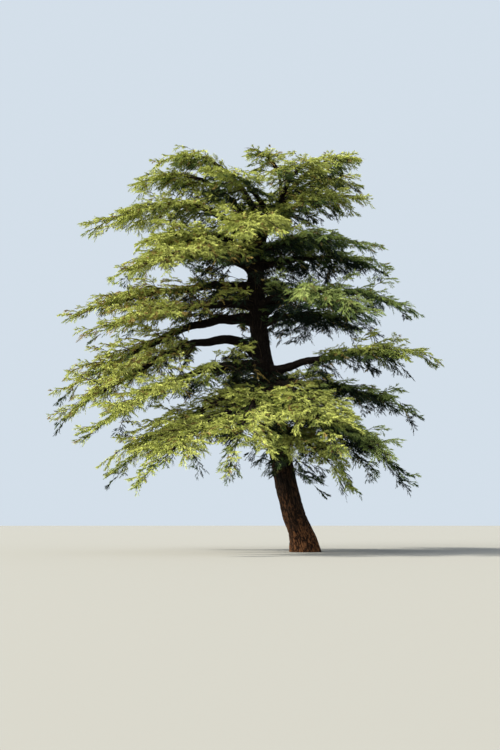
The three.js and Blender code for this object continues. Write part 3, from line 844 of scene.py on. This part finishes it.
@lru_cache(maxsize=None)
def growth(number):
    """The twigs, lesser twigs, inner twigs and sprays of one mass, with the ribs of its greater sprays."""
    bough = all_boughs()[number]
    chance = seeded(number + 1)
    twigs = twigs_of(bough, chance)
    ribs = sprays_of(bough, twigs, chance)
    chance = np.random.default_rng(FINE_SEED + number)
    fine_twigs = fine_twigs_of(bough, chance)
    limbs = [stem_limb(bough)] + [twig_limb(twig) for twig in twigs + fine_twigs]
    limbs += [twig_limb(rib, *RIB_SPRAYS) for rib in ribs]
    sprays = fine_sprays_of(bough, limbs, chance)
    inner = inner_twigs_of(bough, chance)
    if inner:
        sprays = both(sprays, inner_sprays_of(inner, chance))
    twigs = [twig for twig in twigs if not in_opening(twig.point(1), NOTCHES)]
    ribs = [rib for rib in ribs if not in_opening(rib.point(RIB_SPRAYS[1]), NOTCHES)]
    return twigs, fine_twigs + inner, gathered(ribs), sprays


def boughs_in(place):
    return [b for b in all_boughs() if b.name in PLACES[place]]


def masses_in(place):
    return [f"foliage_{b.name}" for b in boughs_in(place)]


class Field:
    """A socket that carries a number. Sums and products with it are made as nodes."""

    def __init__(self, tree, socket):
        self.tree, self.socket = tree, socket

    def _math(self, operation, *values):
        node = self.tree.nodes.new("ShaderNodeMath")
        node.operation = operation
        for socket, value in zip(node.inputs, values):
            if isinstance(value, Field):
                self.tree.links.new(value.socket, socket)
            else:
                socket.default_value = value
        return Field(self.tree, node.outputs[0])

    def __add__(self, other):
        return self._math("ADD", self, other)

    def __radd__(self, other):
        return self._math("ADD", other, self)

    def __sub__(self, other):
        return self._math("SUBTRACT", self, other)

    def __rsub__(self, other):
        return self._math("SUBTRACT", other, self)

    def __mul__(self, other):
        return self._math("MULTIPLY", self, other)

    def __rmul__(self, other):
        return self._math("MULTIPLY", other, self)

    def __truediv__(self, other):
        return self._math("DIVIDE", self, other)

    def __rtruediv__(self, other):
        return self._math("DIVIDE", other, self)

    def clamped(self):
        return self._math("MAXIMUM", self._math("MINIMUM", self, 1), 0)


class Finish:
    """One material, and the one way that its nodes are made."""

    def __init__(self, name):
        self.material = bpy.data.materials.new(name)
        self.material.use_nodes = True
        self.tree = self.material.node_tree
        self.shader = self.tree.nodes["Principled BSDF"]
        self.set(Specular_IOR_Level=SHEEN)

    def node(self, kind, settings=None, **sockets):
        """Adds a node: its settings first, then the value or link of each socket by its name."""
        node = self.tree.nodes.new(kind)
        for name, value in (settings or {}).items():
            if name == "stops":
                self.set_stops(node.color_ramp, value)
            else:
                setattr(node, name, value)
        for name, value in sockets.items():
            self.feed(self.open_socket(node, name.replace("_", " ")), value)
        return node

    @staticmethod
    def open_socket(node, name):
        """The socket of that name that the node's settings leave in use."""
        return next(s for s in node.inputs if s.name == name and s.enabled)

    @staticmethod
    def set_stops(ramp, stops):
        while len(ramp.elements) < len(stops):
            ramp.elements.new(1)
        for element, (position, level) in zip(ramp.elements, stops):
            element.position = position
            element.color = (level, level, level, 1)

    def feed(self, socket, value):
        if isinstance(value, Field):
            value = value.socket
        if isinstance(value, bpy.types.NodeSocket):
            self.tree.links.new(value, socket)
        elif socket.type == "RGBA":
            socket.default_value = (*value[:3], 1)
        else:
            socket.default_value = value

    def set(self, **sockets):
        """Values or links for the shader's own sockets."""
        for name, value in sockets.items():
            self.feed(self.shader.inputs[name.replace("_", " ")], value)

    def noise(self, vector, detail, scale=1, roughness=0.55):
        node = self.node(
            "ShaderNodeTexNoise", Vector=vector, Scale=scale, Detail=detail, Roughness=roughness
        )
        return Field(self.tree, node.outputs["Fac"])

    def ramp(self, value, *stops):
        node = self.node("ShaderNodeValToRGB", {"stops": stops}, Fac=value)
        return Field(self.tree, node.outputs["Color"])

    def mix(self, share, a, b):
        node = self.node("ShaderNodeMix", {"data_type": "RGBA"}, Factor=share, A=a, B=b)
        return next(s for s in node.outputs if s.enabled)

    def stretched(self, vector, across, along):
        node = self.node("ShaderNodeVectorMath", {"operation": "MULTIPLY"})
        self.feed(node.inputs[0], vector)
        self.feed(node.inputs[1], (across, across, along))
        return node.outputs[0]

    def bump(self, height, strength, distance):
        return self.node("ShaderNodeBump", Height=height, Strength=strength, Distance=distance).outputs[0]


BARK = "furrowed_bark"
GRAIN = "grain"  # where a vertex would lie if its limb stood straight, in metres
CUT = "cut"  # how deep a vertex lies in a furrow, from 0 to 1

# The patterns in the bark's colour: how often each repeats per metre across and along a limb.
BEND_GRAIN = (1, 0.6)
PLATE_GRAIN = (11, 3.2)
SPECK_GRAIN = (30, 9)
PATCH_GRAIN = (1.7, 0.7)

PLATE_BEND = 0.25
PLATE_EDGE = 0.62  # the level of their pattern at which two plates meet
EDGE_STOPS = ((0.0003, 0), (0.004, 1))
PATCH_STOPS = ((0.42, 0), (0.62, 1))
PATCH_RUST = 0.3  # how rusty the patches are
FOOT_RUST_AND_SUN = 0.75  # how rusty the foot is, a rusty colour that is partly painted sunlight on the foot
CROWN_SHADE = 0.85  # how far the grey gives way to the dark high up, as painted shade from the crown
RUST_AND_SUN_FLOOR = 0.25  # how much of the rusty colour, partly painted sunlight at the foot, shows on the darkest specks, and how much more on the lightest
RUST_AND_SUN_SPECKS = 0.7
BARK_ROUGHNESS = 0.96
PLATE_GLOSS = 0.12  # how much less rough the plates are than the furrows
PLATE_HEIGHT = 0.7  # shares of the relief that the colour's patterns add
SPECK_HEIGHT = 0.4


def bark_finish(bark):
    """Grey-brown bark in long furrowed plates, dark in the furrows and rusty where plates have come away,
    with painted sunlight in the foot's rusty colour and painted shade from the crown high up.
    """
    finish = Finish(BARK)
    grain = finish.node("ShaderNodeAttribute", {"attribute_name": GRAIN}).outputs["Vector"]
    place = finish.node("ShaderNodeTexCoord").outputs["Object"]
    height = Field(finish.tree, finish.node("ShaderNodeSeparateXYZ", Vector=place).outputs["Z"])
    bend = finish.noise(finish.stretched(grain, *BEND_GRAIN), detail=2, scale=3)
    cut = Field(finish.tree, finish.node("ShaderNodeAttribute", {"attribute_name": CUT}).outputs["Fac"])
    edges = finish.noise(finish.stretched(grain, *PLATE_GRAIN), detail=3) + bend * PLATE_BEND - PLATE_EDGE
    plates = finish.ramp(edges * edges, *EDGE_STOPS) * (1 - cut)
    specks = finish.noise(finish.stretched(grain, *SPECK_GRAIN), detail=4, roughness=0.6)
    patches = finish.ramp(finish.noise(finish.stretched(grain, *PATCH_GRAIN), detail=3), *PATCH_STOPS)
    # Rusty colour near the foot, partly real and partly painted sunlight on the foot.
    near_foot = (1 - height / bark.warm_height).clamped()
    # Painted shade from the crown: higher up the bark darkens and loses its rusty patches.
    crown_shade = ((height - bark.warm_height) / bark.warm_height).clamped()
    rust_and_sun = (patches * (1 - crown_shade) * PATCH_RUST + near_foot * FOOT_RUST_AND_SUN).clamped()
    weathered_and_shaded = finish.mix(specks * (1 - crown_shade * CROWN_SHADE), bark.dark, bark.grey)
    face = finish.mix(rust_and_sun * (RUST_AND_SUN_FLOOR + specks * RUST_AND_SUN_SPECKS), weathered_and_shaded, bark.rust_and_sun)
    relief = plates * PLATE_HEIGHT + specks * SPECK_HEIGHT
    finish.set(
        Base_Color=finish.mix(plates, bark.furrow, face),
        Roughness=BARK_ROUGHNESS - plates * PLATE_GLOSS,
        Normal=finish.bump(relief, strength=0.8, distance=0.03),
    )
    return finish.material


def plain_finish(name, colour, roughness):
    """A finish of one plain colour, for needles and twigs too small to carry a pattern."""
    finish = Finish(name)
    finish.set(Base_Color=colour, Roughness=roughness)
    return finish.material


def shown(name, mesh, materials, nodes):
    """Shows a finished mesh as a piece of the tree that stands for some of its solids."""
    piece = bpy.data.objects.new(name, mesh)
    bpy.context.scene.collection.objects.link(piece)
    for material in materials:
        mesh.materials.append(material)
    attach(piece, "root")
    if nodes:
        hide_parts(*nodes)


def add_limb(mesh, part, sides, steps, depth):
    """Adds a limb to a mesh: a cylinder cut into rings, then laid along its line with its bark's relief.

    The part's middle(t), axes(t), radius(t, angle) and along(t) give its line, the two ways across it, its
    size and how far along it a ring lies.
    """
    grain, cut = mesh.verts.layers.float_vector[GRAIN], mesh.verts.layers.float[CUT]
    before = len(mesh.verts)
    cone = bmesh.ops.create_cone(mesh, cap_ends=True, segments=sides, radius1=1, radius2=1, depth=1)
    upright = {e for v in cone["verts"] for e in v.link_edges if e.calc_length() > 0.99}
    bmesh.ops.subdivide_edges(mesh, edges=list(upright), cuts=steps - 1)
    rings = {}
    for vert in list(mesh.verts)[before:]:
        t = vert.co.z + 0.5
        ring = round(t * steps)
        if ring not in rings:
            rings[ring] = (part["middle"](t), *part["axes"](t))
        point, across, above = rings[ring]
        angle = math.atan2(vert.co.y, vert.co.x)
        cos, sin = math.cos(angle), math.sin(angle)
        size = part["radius"](t, angle)
        straight = Vector((cos * size, sin * size, part["along"](t)))
        vert[grain] = straight
        relief, vert[cut] = bark_relief(straight, size, min(depth, MOST_RELIEF * size))
        size += relief
        vert.co = Vector(point + (across * cos + above * sin) * size)


def finished_mesh(name, bm):
    bmesh.ops.recalc_face_normals(bm, faces=bm.faces)
    mesh = bpy.data.meshes.new(name)
    bm.to_mesh(mesh)
    bm.free()
    mesh.shade_smooth()
    return mesh


def limb_mesh():
    """An empty mesh with the layers that the bark reads."""
    mesh = bmesh.new()
    mesh.verts.layers.float_vector.new(GRAIN)
    mesh.verts.layers.float.new(CUT)
    return mesh


def grain_at(straight, across, along, start):
    x, y, z = straight
    return noise.noise(Vector((x * across, y * across, z * along + start)))


def bark_relief(straight, size, depth):
    """How far the bark stands out or in, and how deep in a furrow: slow swells, then furrows and scales."""
    swell, furrow, scales = (grain_at(straight, *grain) for grain in (SWELL_GRAIN, FURROW_GRAIN, SCALE_GRAIN))
    cut = max(0, 1 - abs(furrow) / FURROW_WIDTH)
    return SWELL * size * swell + depth * (SCALE_DEPTH * scales - cut), cut


def bough_part(bough, start, end):
    """The line, the two ways across and the size of a bough between two shares of its length."""
    def axes(t):
        along = bough.tangent(lerp(start, end, t))
        across = unit(np.cross(along, UP))
        return across, np.cross(across, along)

    def middle(t):
        share = lerp(start, end, t)
        wander = noise.noise_vector(Vector((share * bough.length / WANDER_LENGTH, bough.number, 0)))
        return bough.point(share) + np.array(wander) * WANDER * bough.radius(share)

    return {
        "middle": middle,
        "axes": axes,
        "radius": lambda t, angle: bough.radius(lerp(start, end, t)) + BARK_THICKNESS * (1 - t),
        "along": lambda t: bough.length * lerp(start, end, t) + GRAIN_APART * bough.number,
    }


def trunk_height(t):
    """Rings lie closer together near the ground."""
    return TRUNK_TOP * lerp(t * t, t, 1 - FOOT_CROWDING)


def trunk_part():
    return {
        "middle": lambda t: trunk_middle(trunk_height(t)),
        "axes": lambda t: (np.array((1.0, 0, 0)), np.array((0, 1.0, 0))),
        "radius": lambda t, angle: trunk_radius(trunk_height(t), angle) + BARK_THICKNESS * (1 - t),
        "along": trunk_height,
    }


def slivers(roots, tips, radius, facing=UP):
    """The thinnest shoots as flat triangles, each with its point at the tip and its flat side to a vector."""
    aside = unit(np.cross(tips - roots, facing)) * radius
    verts = np.stack([roots - aside, roots + aside, tips], axis=-2).reshape(-1, 3)
    return verts, np.arange(len(verts)).reshape(-1, 3)


def tubes(points, radii, sides):
    """Tapering tubes that end in a point, as vertices and triangles. points is (tubes, stations, 3)."""
    count, stations = points.shape[:2]
    way = unit(points[:, -1] - points[:, 0])
    across = unit(np.cross(way, ASKEW))
    above = np.cross(across, way)
    turns = 2 * np.pi * np.arange(sides) / sides
    rim = across[:, None] * np.cos(turns)[:, None] + above[:, None] * np.sin(turns)[:, None]
    rings = points[:, :-1, None] + rim[:, None] * radii[:-1, None, None]
    verts = np.concatenate([rings.reshape(count, -1, 3), points[:, -1:]], axis=1)
    faces = []
    for ring in range(stations - 1):
        for k in range(sides):
            a, b = ring * sides + k, ring * sides + (k + 1) % sides
            if ring == stations - 2:
                faces.append((a, b, (stations - 1) * sides))
            else:
                faces += [(a, b, b + sides), (a, b + sides, a + sides)]
    size = verts.shape[1]
    every = np.arange(count)[:, None, None] * size + np.array(faces)
    return verts.reshape(-1, 3), every.reshape(-1, 3)


def joined(*parts):
    """Several (vertices, triangles) as one."""
    offsets = np.cumsum([0] + [len(verts) for verts, _ in parts])
    verts = np.concatenate([verts for verts, _ in parts])
    return verts, np.concatenate([faces + offset for (_, faces), offset in zip(parts, offsets)])


def mesh_from(name, verts, faces, tints=None):
    """A mesh of triangles from arrays, with a material number for each triangle."""
    mesh = bpy.data.meshes.new(name)
    mesh.vertices.add(len(verts))
    mesh.vertices.foreach_set("co", np.asarray(verts, np.float32).ravel())
    mesh.loops.add(faces.size)
    mesh.loops.foreach_set("vertex_index", faces.astype(np.int32).ravel())
    mesh.polygons.add(len(faces))
    mesh.polygons.foreach_set("loop_start", np.arange(0, faces.size, 3, dtype=np.int32))
    if tints is not None:
        mesh.polygons.foreach_set("material_index", tints.astype(np.int32))
    mesh.update(calc_edges=True)
    mesh.validate()
    return mesh


def feathers_of(sprays, chance):
    """The feathers of some sprays, on both sides of each rib and on its tip: roots, tips, whose they are."""
    counts = np.maximum(FEATHERS_MIN, np.round(sprays.length[:, 0] / FEATHER_SPACING)).astype(int)
    rows = np.repeat(np.arange(len(counts)), counts)
    order = np.arange(len(rows)) - np.repeat(np.cumsum(counts) - counts, counts)
    size = len(rows)
    share = lerp(*FEATHER_SPAN, (order + chance.uniform(*PLACE_SPAN, size)) / counts[rows])
    side = np.where(order % 2, 1, -1)
    reach = np.interp(share, *zip(*FEATHER_REACH)) * chance.uniform(*FEATHER_SIZE, size)
    ends = np.minimum(share + FEATHER_FORWARD * reach + FEATHER_LEAD, 1)
    last = order == counts[rows] - 1
    tip_share, tip_reach = LAST_FEATHER
    share, reach = np.where(last, tip_share, share), np.where(last, tip_reach, reach)
    ends = np.where(last, 1, ends)
    ribs = chosen(sprays, rows)
    lift = ribs.length[:, 0] * chance.uniform(*FEATHER_LIFT, size)
    roots = ribs.places(share[:, None], 0 * share[:, None], 0)[:, 0]
    tips = ribs.places(ends[:, None], (side * reach)[:, None], lift[:, None])[:, 0]
    span = np.linalg.norm(tips - roots, axis=-1)
    tips -= UP * each(span * FEATHER_HANG * chance.uniform(0, 1, size) ** HANG_POWER)
    kept = crown_space().clears(tips, FEATHER_CLEARANCE) & within_reach(tips) & ~in_opening(tips, NOTCHES)
    return roots[kept], tips[kept], rows[kept]


def shoots_on(roots, tips, chance):
    """The shoots of every feather, alternately on both sides, and one on its tip: roots, ways, lengths."""
    count = len(roots)
    steps = (np.arange(SHOOTS) + SHOOT_PLACE) / SHOOTS
    swing = chance.uniform(-SHOOT_PLACE_SWING, SHOOT_PLACE_SWING, (count, SHOOTS))
    share = np.minimum(steps + swing, 1)
    at = lerp(roots[:, None], tips[:, None], each(share))
    span = np.linalg.norm(tips - roots, axis=-1)[:, None]
    way = unit(tips - roots)[:, None]
    aside = unit(np.cross(way, UP + chance.normal(0, SHOOT_TILT, (count, 1, 3))))
    side = np.where(np.arange(SHOOTS) % 2, 1, -1)[:, None] * SHOOT_SPLAY
    side = np.where(np.arange(SHOOTS)[:, None] == SHOOTS - 1, 0, side)
    drift = chance.normal(0, SHOOT_SWING, (count, SHOOTS, 3)) - UP * SHOOT_DROOP
    ways = unit(way + aside * side + drift)
    taper = SHOOT_SHARE * (1 - SHOOT_TAPER * share)
    lengths = span * taper * chance.uniform(*LENGTH_SPAN, (count, SHOOTS))
    return at, ways, np.clip(lengths, *SHOOT_LIMITS)


def needles_on(at, ways, lengths, foliage, chance):
    """The needles of every shoot, one slim triangle each, and the slim green core they stand out of."""
    feathers, shoots = lengths.shape
    size = (feathers, shoots, NEEDLES)
    share = (np.arange(NEEDLES) + chance.uniform(*NEEDLE_SPAN, size)) / NEEDLES
    base = at[:, :, None] + ways[:, :, None] * (lengths[..., None] * share)[..., None]
    radial = chance.normal(0, 1, (*size, 3)) * (1, 1, NEEDLE_FLATNESS)
    way = unit(ways[:, :, None] * NEEDLE_FORWARD + unit(radial))
    aside = unit(np.cross(way, chance.normal(0, 1, (*size, 3)))) * foliage.needle_width / 2
    tip = base + way * (foliage.needle_length * chance.uniform(*LENGTH_SPAN, size))[..., None]
    verts = np.stack([base - aside, base + aside, tip], axis=-2).reshape(-1, 3)
    needles = verts, np.arange(len(verts)).reshape(-1, 3)
    return joined(needles, slivers(at, at + ways * each(lengths), CORE_RADIUS, chance.normal(0, 1, at.shape)))


def light_on(bough, middles):
    """How much light a mass's feathers get, most on top and at the rim and least below and within."""
    line = bough.line(0, 1, LIGHT_STEPS)
    away = np.linalg.norm(middles[:, None] - line, axis=-1)
    nearest = away.argmin(-1)
    away = away.min(-1)
    above = (middles[:, 2] - line[nearest, 2]) / PLATE_HALF + RIM_LIFT * away
    along = nearest / LIGHT_STEPS
    outward = np.maximum((along - bough.bare) / (1 - bough.bare), away / bough.spread * 2)
    light = MEAN_LIGHT + ABOVE_LIGHT * np.clip(above, -MOST_ABOVE, MOST_ABOVE) + RIM_LIGHT * (outward - 0.5)
    light -= INNER_SHADE * (along < INNER_SHARE * bough.bare)
    light += LIGHT_PER_METRE * (middles[:, 2] - MIDDLE_HEIGHT)
    light -= SIDE_SHADE * (bough.name in SHADED)
    return light + SIDE_LIGHT.get(bough.name.split("_")[0], 0)


def tints_of(light, rows, brown_share, chance):
    """The number of each feather's green, by the light on it, with a swing for its spray and one of its own.

    Some feathers have browned, and their number is GREENS.
    """
    light = light + chance.normal(0, SPRAY_LIGHT_SWING, rows.max() + 1)[rows]
    light += chance.normal(0, LIGHT_SWING, len(light))
    tint = np.clip((light * GREENS).astype(int), 0, GREENS - 1)
    return np.where(chance.random(len(light)) < brown_share, GREENS, tint)


@lru_cache(maxsize=None)
def fine_growth(number):
    """The feathers of one mass, or of the trunk's own twigs, their sprays' numbers, and their shoots."""
    chance = np.random.default_rng(FEATHER_SEED + number)
    sprays = trunk_growth()[1] if number == ON_TRUNK else growth(number)[3]
    roots, tips, rows = feathers_of(sprays, chance)
    return roots, tips, rows, shoots_on(roots, tips, chance)


def twig_tubes(twigs, root, tip):
    share = np.linspace(0, 1, TWIG_STATIONS)
    return tubes(np.array([twig.point(share) for twig in twigs]), lerp(root, tip, share), TWIG_SIDES)


def leader_tube(bough):
    share = np.linspace(bough.end - LEADER_OVERLAP, LEADER_END, TWIG_STATIONS)
    radii = np.linspace(TIP_RADIUS, FINE_TWIG_TIP, TWIG_STATIONS)
    return tubes(bough.point(each(share))[None], radii, TWIG_SIDES)


def rib_tubes(sprays):
    share = np.array(RIB_STATIONS)
    return tubes(sprays.point(share), lerp(RIB_ROOT, RIB_TIP, share), RIB_SIDES)


def stalks_of(number):
    roots, tips, _, _ = fine_growth(number)
    return slivers(roots, tips, STALK_RADIUS)


def wood_of(bough):
    """Everything woody in a mass past its stem: twigs, ribs and stalks."""
    twigs, fine_twigs, ribs, sprays = growth(bough.number)
    parts = [twig_tubes(fine_twigs, FINE_TWIG_ROOT, FINE_TWIG_TIP), rib_tubes(ribs), rib_tubes(sprays)]
    parts += [stalks_of(bough.number), leader_tube(bough)]
    if twigs:
        parts.append(twig_tubes(twigs, TWIG_ROOT, TWIG_TIP))
    return parts


def trunk_wood():
    twigs, sprays = trunk_growth()
    return [twig_tubes(twigs, FINE_TWIG_ROOT, FINE_TWIG_TIP), rib_tubes(sprays), stalks_of(ON_TRUNK)]


def needles_of(number, foliage):
    """The needles of one mass, or of the trunk's own twigs, as vertices, triangles and their tints."""
    roots, tips, rows, (at, ways, lengths) = fine_growth(number)
    chance = np.random.default_rng(NEEDLE_SEED + number)
    light, brown_share = np.full(len(roots), TRUNK_LIGHT), BROWNED_ELSEWHERE
    if number != ON_TRUNK:
        bough = all_boughs()[number]
        light = light_on(bough, (roots + tips) / 2)
        brown_share = BROWNED.get(bough.name, BROWNED_ELSEWHERE)
    tints = tints_of(light, rows, brown_share, chance)
    # The trunk's own twigs and the shaded masses take the cooler copies of the greens, as painted shade.
    if number == ON_TRUNK or bough.name in SHADED:
        tints += GREENS + 1
    verts, faces = needles_on(at, ways, lengths, foliage, chance)
    return verts, faces, np.concatenate([np.repeat(tints, SHOOTS * NEEDLES), np.repeat(tints, SHOOTS)])


def colour(name, description, default):
    return bpy.props.FloatVectorProperty(
        name=name, description=description, default=default, subtype="COLOR", size=3, min=0, max=1
    )


def length(name, description, default):
    return bpy.props.FloatProperty(
        name=name, description=description, default=default, unit="LENGTH", subtype="DISTANCE", min=0
    )


def strength(name, description, default):
    return bpy.props.FloatProperty(name=name, description=description, default=default, min=0)


class CedarBark(bpy.types.PropertyGroup):
    """The bark of the trunk and the boughs"""

    trunk_relief: length("Trunk relief", "How deep the furrows of the trunk are", 0.04)
    bough_relief: length("Bough relief", "How deep the furrows of a bough are", 0.02)
    # Up to this height the foot's rusty colour is partly painted sunlight; above it, painted shade from the
    # crown darkens the bark.
    warm_height: length("Warm foot", "Height up to which the foot of the trunk is rusty", 3.2)
    grey: colour("Grey", "Weathered face of the bark's plates", (0.033, 0.024, 0.017))
    dark: colour("Dark", "Darker scales of the bark", (0.01, 0.007, 0.005))
    furrow: colour("Furrow", "Bottom of the furrows", (0.005, 0.0035, 0.003))
    # This colour also paints sunlight on the trunk's foot.
    rust_and_sun: colour("Rust", "Fresh bark where plates have come away", (0.24, 0.095, 0.034))


class CedarFoliage(bpy.types.PropertyGroup):
    """The twigs and needles"""

    needle_length: length("Needle length", "Length of one needle", 0.13)
    needle_width: length("Needle width", "Width of one needle at its root", 0.034)
    twig: colour("Twig", "Bark of the twigs", (0.035, 0.024, 0.016))
    # The five greens are lit and shaded copies of one green: painted shade within and under a plate, painted
    # sunlight on its top and rim.
    shade: colour("Shade green", "Needles within and under a plate", (0.01, 0.018, 0.009))
    deep: colour("Deep green", "Needles low on a plate", (0.045, 0.072, 0.02))
    middle: colour("Middle green", "Most of the needles", (0.195, 0.235, 0.052))
    lit_green: colour("Fresh green", "Needles on top of a plate", (0.3, 0.335, 0.078))
    bright: colour("Bright green", "Youngest needles at the rim of a plate", (0.36, 0.39, 0.1))
    brown: colour("Brown", "Old needles that are about to fall", (0.23, 0.17, 0.05))


class CedarStage(bpy.types.PropertyGroup):
    """The camera, the light and the floor"""

    eye_height: length("Eye height", "Height of the camera above the ground", EYE[2])
    distance: length("Distance", "How far in front of the trunk's foot the camera stands", -EYE[1])
    aside: length("Aside", "How far to the left of the trunk's foot the camera stands", -EYE[0])
    pitch: bpy.props.FloatProperty(
        name="Pitch", description="How far the camera looks up", default=math.radians(8.03), subtype="ANGLE"
    )
    lens: bpy.props.FloatProperty(
        name="Lens", description="Focal length in millimetres", default=50, min=1
    )
    key: strength("Key light", "Strength of the key light", 12)
    front: strength("Front light", "Strength of the soft light from the front", 2.9)
    fill: strength("Fill light", "Strength of the light all round", 0.82)
    floor: colour("Floor", "Colour of the floor", (0.21, 0.21, 0.2))
    surround: colour("Surround", "Colour of the light all round", (0.8, 0.9, 1))


class CEDAR_OT_trunk(bpy.types.Operator):
    """Grow the trunk with its root flare and its furrowed bark"""

    bl_idname = "cedar.trunk"
    bl_label = "Grow the trunk"

    def execute(self, context):
        bark = context.scene.cedar_bark
        mesh = limb_mesh()
        add_limb(mesh, trunk_part(), TRUNK_SIDES, TRUNK_STEPS, bark.trunk_relief)
        shown("bark_trunk", finished_mesh("bark_trunk", mesh), [bark_finish(bark)], ["trunk"])
        return {"FINISHED"}


class CEDAR_OT_boughs(bpy.types.Operator):
    """Grow the boughs and carry each one on into its mass as a stem"""

    bl_idname = "cedar.boughs"
    bl_label = "Grow the boughs"

    def execute(self, context):
        noise.seed_set(WANDER_SEED)
        bark = context.scene.cedar_bark
        finish = bpy.data.materials.get(BARK) or bark_finish(bark)
        for place in PLACES:
            mesh = limb_mesh()
            for bough in boughs_in(place):
                hidden = BOUGH_START * trunk_radius(min(bough.corners[0][2], TRUNK_TOP), 0) / bough.length
                steps = round((bough.end - hidden) * bough.length / BOUGH_RING_SPACING)
                add_limb(mesh, bough_part(bough, hidden, bough.end), BOUGH_SIDES, steps, bark.bough_relief)
            nodes = masses_in(place) + [f"bough_{b.name}" for b in boughs_in(place) if b.bare > 0]
            shown(f"boughs_{place}", finished_mesh(f"boughs_{place}", mesh), [finish], nodes)
        return {"FINISHED"}


class CEDAR_OT_twigs(bpy.types.Operator):
    """Grow the twigs, the ribs of the sprays and the feathers' own stalks"""

    bl_idname = "cedar.twigs"
    bl_label = "Grow the twigs"

    def execute(self, context):
        finish = plain_finish("twig_bark", context.scene.cedar_foliage.twig, roughness=0.9)
        shown("twigs_trunk", mesh_from("twigs_trunk", *joined(*trunk_wood())), [finish], [])
        for place in PLACES:
            parts = [part for bough in boughs_in(place) for part in wood_of(bough)]
            mesh = mesh_from(f"twigs_{place}", *joined(*parts))
            shown(f"twigs_{place}", mesh, [finish], masses_in(place))
        return {"FINISHED"}


class CEDAR_OT_needles(bpy.types.Operator):
    """Grow the needles of every place in the crown, with their greens dealt out by feather"""

    bl_idname = "cedar.needles"
    bl_label = "Grow the needles"

    def execute(self, context):
        foliage = context.scene.cedar_foliage
        named = np.array([getattr(foliage, green) for green in NAMED_GREENS])
        steps = np.linspace(0, len(named) - 1, GREENS)
        colours = [[np.interp(step, range(len(named)), channel) for channel in named.T] for step in steps]
        colours.append(foliage.brown)
        # Cooler copies of every green, for painted shade.
        colours += [np.multiply(green, COOL_TONE) for green in colours]
        finishes = [plain_finish(f"needles_{n}", green, roughness=0.75) for n, green in enumerate(colours)]
        verts, faces, tints = needles_of(ON_TRUNK, foliage)
        shown("needles_trunk", mesh_from("needles_trunk", verts, faces, tints), finishes, [])
        for place in PLACES:
            grown = [needles_of(bough.number, foliage) for bough in boughs_in(place)]
            verts, faces = joined(*[(verts, faces) for verts, faces, _ in grown])
            tints = np.concatenate([tints for _, _, tints in grown])
            mesh = mesh_from(f"needles_{place}", verts, faces, tints)
            shown(f"needles_{place}", mesh, finishes, masses_in(place))
        return {"FINISHED"}


class CEDAR_OT_stage(bpy.types.Operator):
    """Lay the floor and set the light and the camera"""

    bl_idname = "cedar.stage"
    bl_label = "Set the stage"

    def execute(self, context):
        stage = context.scene.cedar_stage
        mesh = bmesh.new()
        bmesh.ops.create_circle(mesh, cap_ends=True, segments=96, radius=FLOOR_RADIUS)
        floor_mesh = bpy.data.meshes.new("floor")
        mesh.to_mesh(floor_mesh)
        mesh.free()
        floor_mesh.materials.append(plain_finish("floor", stage.floor, roughness=0.9))
        floor = bpy.data.objects.new("floor", floor_mesh)
        context.scene.collection.objects.link(floor)

        for name, strength, (azimuth, height, softness, tone) in (
            ("key", stage.key, KEY_LIGHT), ("front", stage.front, FRONT_LIGHT)
        ):
            lamp = bpy.data.lights.new(name, "SUN")
            lamp.energy = strength
            lamp.angle = math.radians(softness)
            lamp.color = tone
            light = bpy.data.objects.new(name, lamp)
            from_light = Vector(direction(math.radians(azimuth), math.radians(height)))
            light.rotation_euler = from_light.to_track_quat("Z", "Y").to_euler()
            context.scene.collection.objects.link(light)

        world = bpy.data.worlds.new("surround")
        world.use_nodes = True
        background = world.node_tree.nodes["Background"]
        background.inputs["Color"].default_value = (*stage.surround, 1)
        background.inputs["Strength"].default_value = stage.fill
        context.scene.world = world

        camera = bpy.data.cameras.new("camera")
        camera.lens = stage.lens
        camera.clip_end = 1000
        eye = bpy.data.objects.new("camera", camera)
        eye.location = (-stage.aside, -stage.distance, stage.eye_height)
        eye.rotation_euler = (math.pi / 2 + stage.pitch, 0, 0)
        context.scene.collection.objects.link(eye)
        context.scene.camera = eye
        context.scene.view_settings.view_transform = "Standard"
        return {"FINISHED"}


class CEDAR_PT_panel(bpy.types.Panel):
    """The steps that grow the tree, in order, with the sizes and colours they use"""

    bl_label = "Atlas Cedar"
    bl_idname = "CEDAR_PT_panel"
    bl_space_type = "VIEW_3D"
    bl_region_type = "UI"
    bl_category = "Cedar"

    def draw(self, context):
        for operator in OPERATORS:
            self.layout.operator(operator.bl_idname)
        for name, group in SETTINGS.items():
            box = self.layout.box()
            for key in group.__annotations__:
                box.prop(getattr(context.scene, name), key)


OPERATORS = (CEDAR_OT_trunk, CEDAR_OT_boughs, CEDAR_OT_twigs, CEDAR_OT_needles, CEDAR_OT_stage)
SETTINGS = {"cedar_bark": CedarBark, "cedar_foliage": CedarFoliage, "cedar_stage": CedarStage}


def register():
    for group in SETTINGS.values():
        bpy.utils.register_class(group)
    for name, group in SETTINGS.items():
        setattr(bpy.types.Scene, name, bpy.props.PointerProperty(type=group))
    for cls in (*OPERATORS, CEDAR_PT_panel):
        bpy.utils.register_class(cls)


def unregister():
    for cls in (CEDAR_PT_panel, *reversed(OPERATORS)):
        bpy.utils.unregister_class(cls)
    for name in SETTINGS:
        delattr(bpy.types.Scene, name)
    for group in SETTINGS.values():
        bpy.utils.unregister_class(group)


def main():
    register()
    bpy.ops.cedar.trunk()
    bpy.ops.cedar.boughs()
    bpy.ops.cedar.twigs()
    bpy.ops.cedar.needles()
    bpy.ops.cedar.stage()


if __name__ == "__main__":
    main()
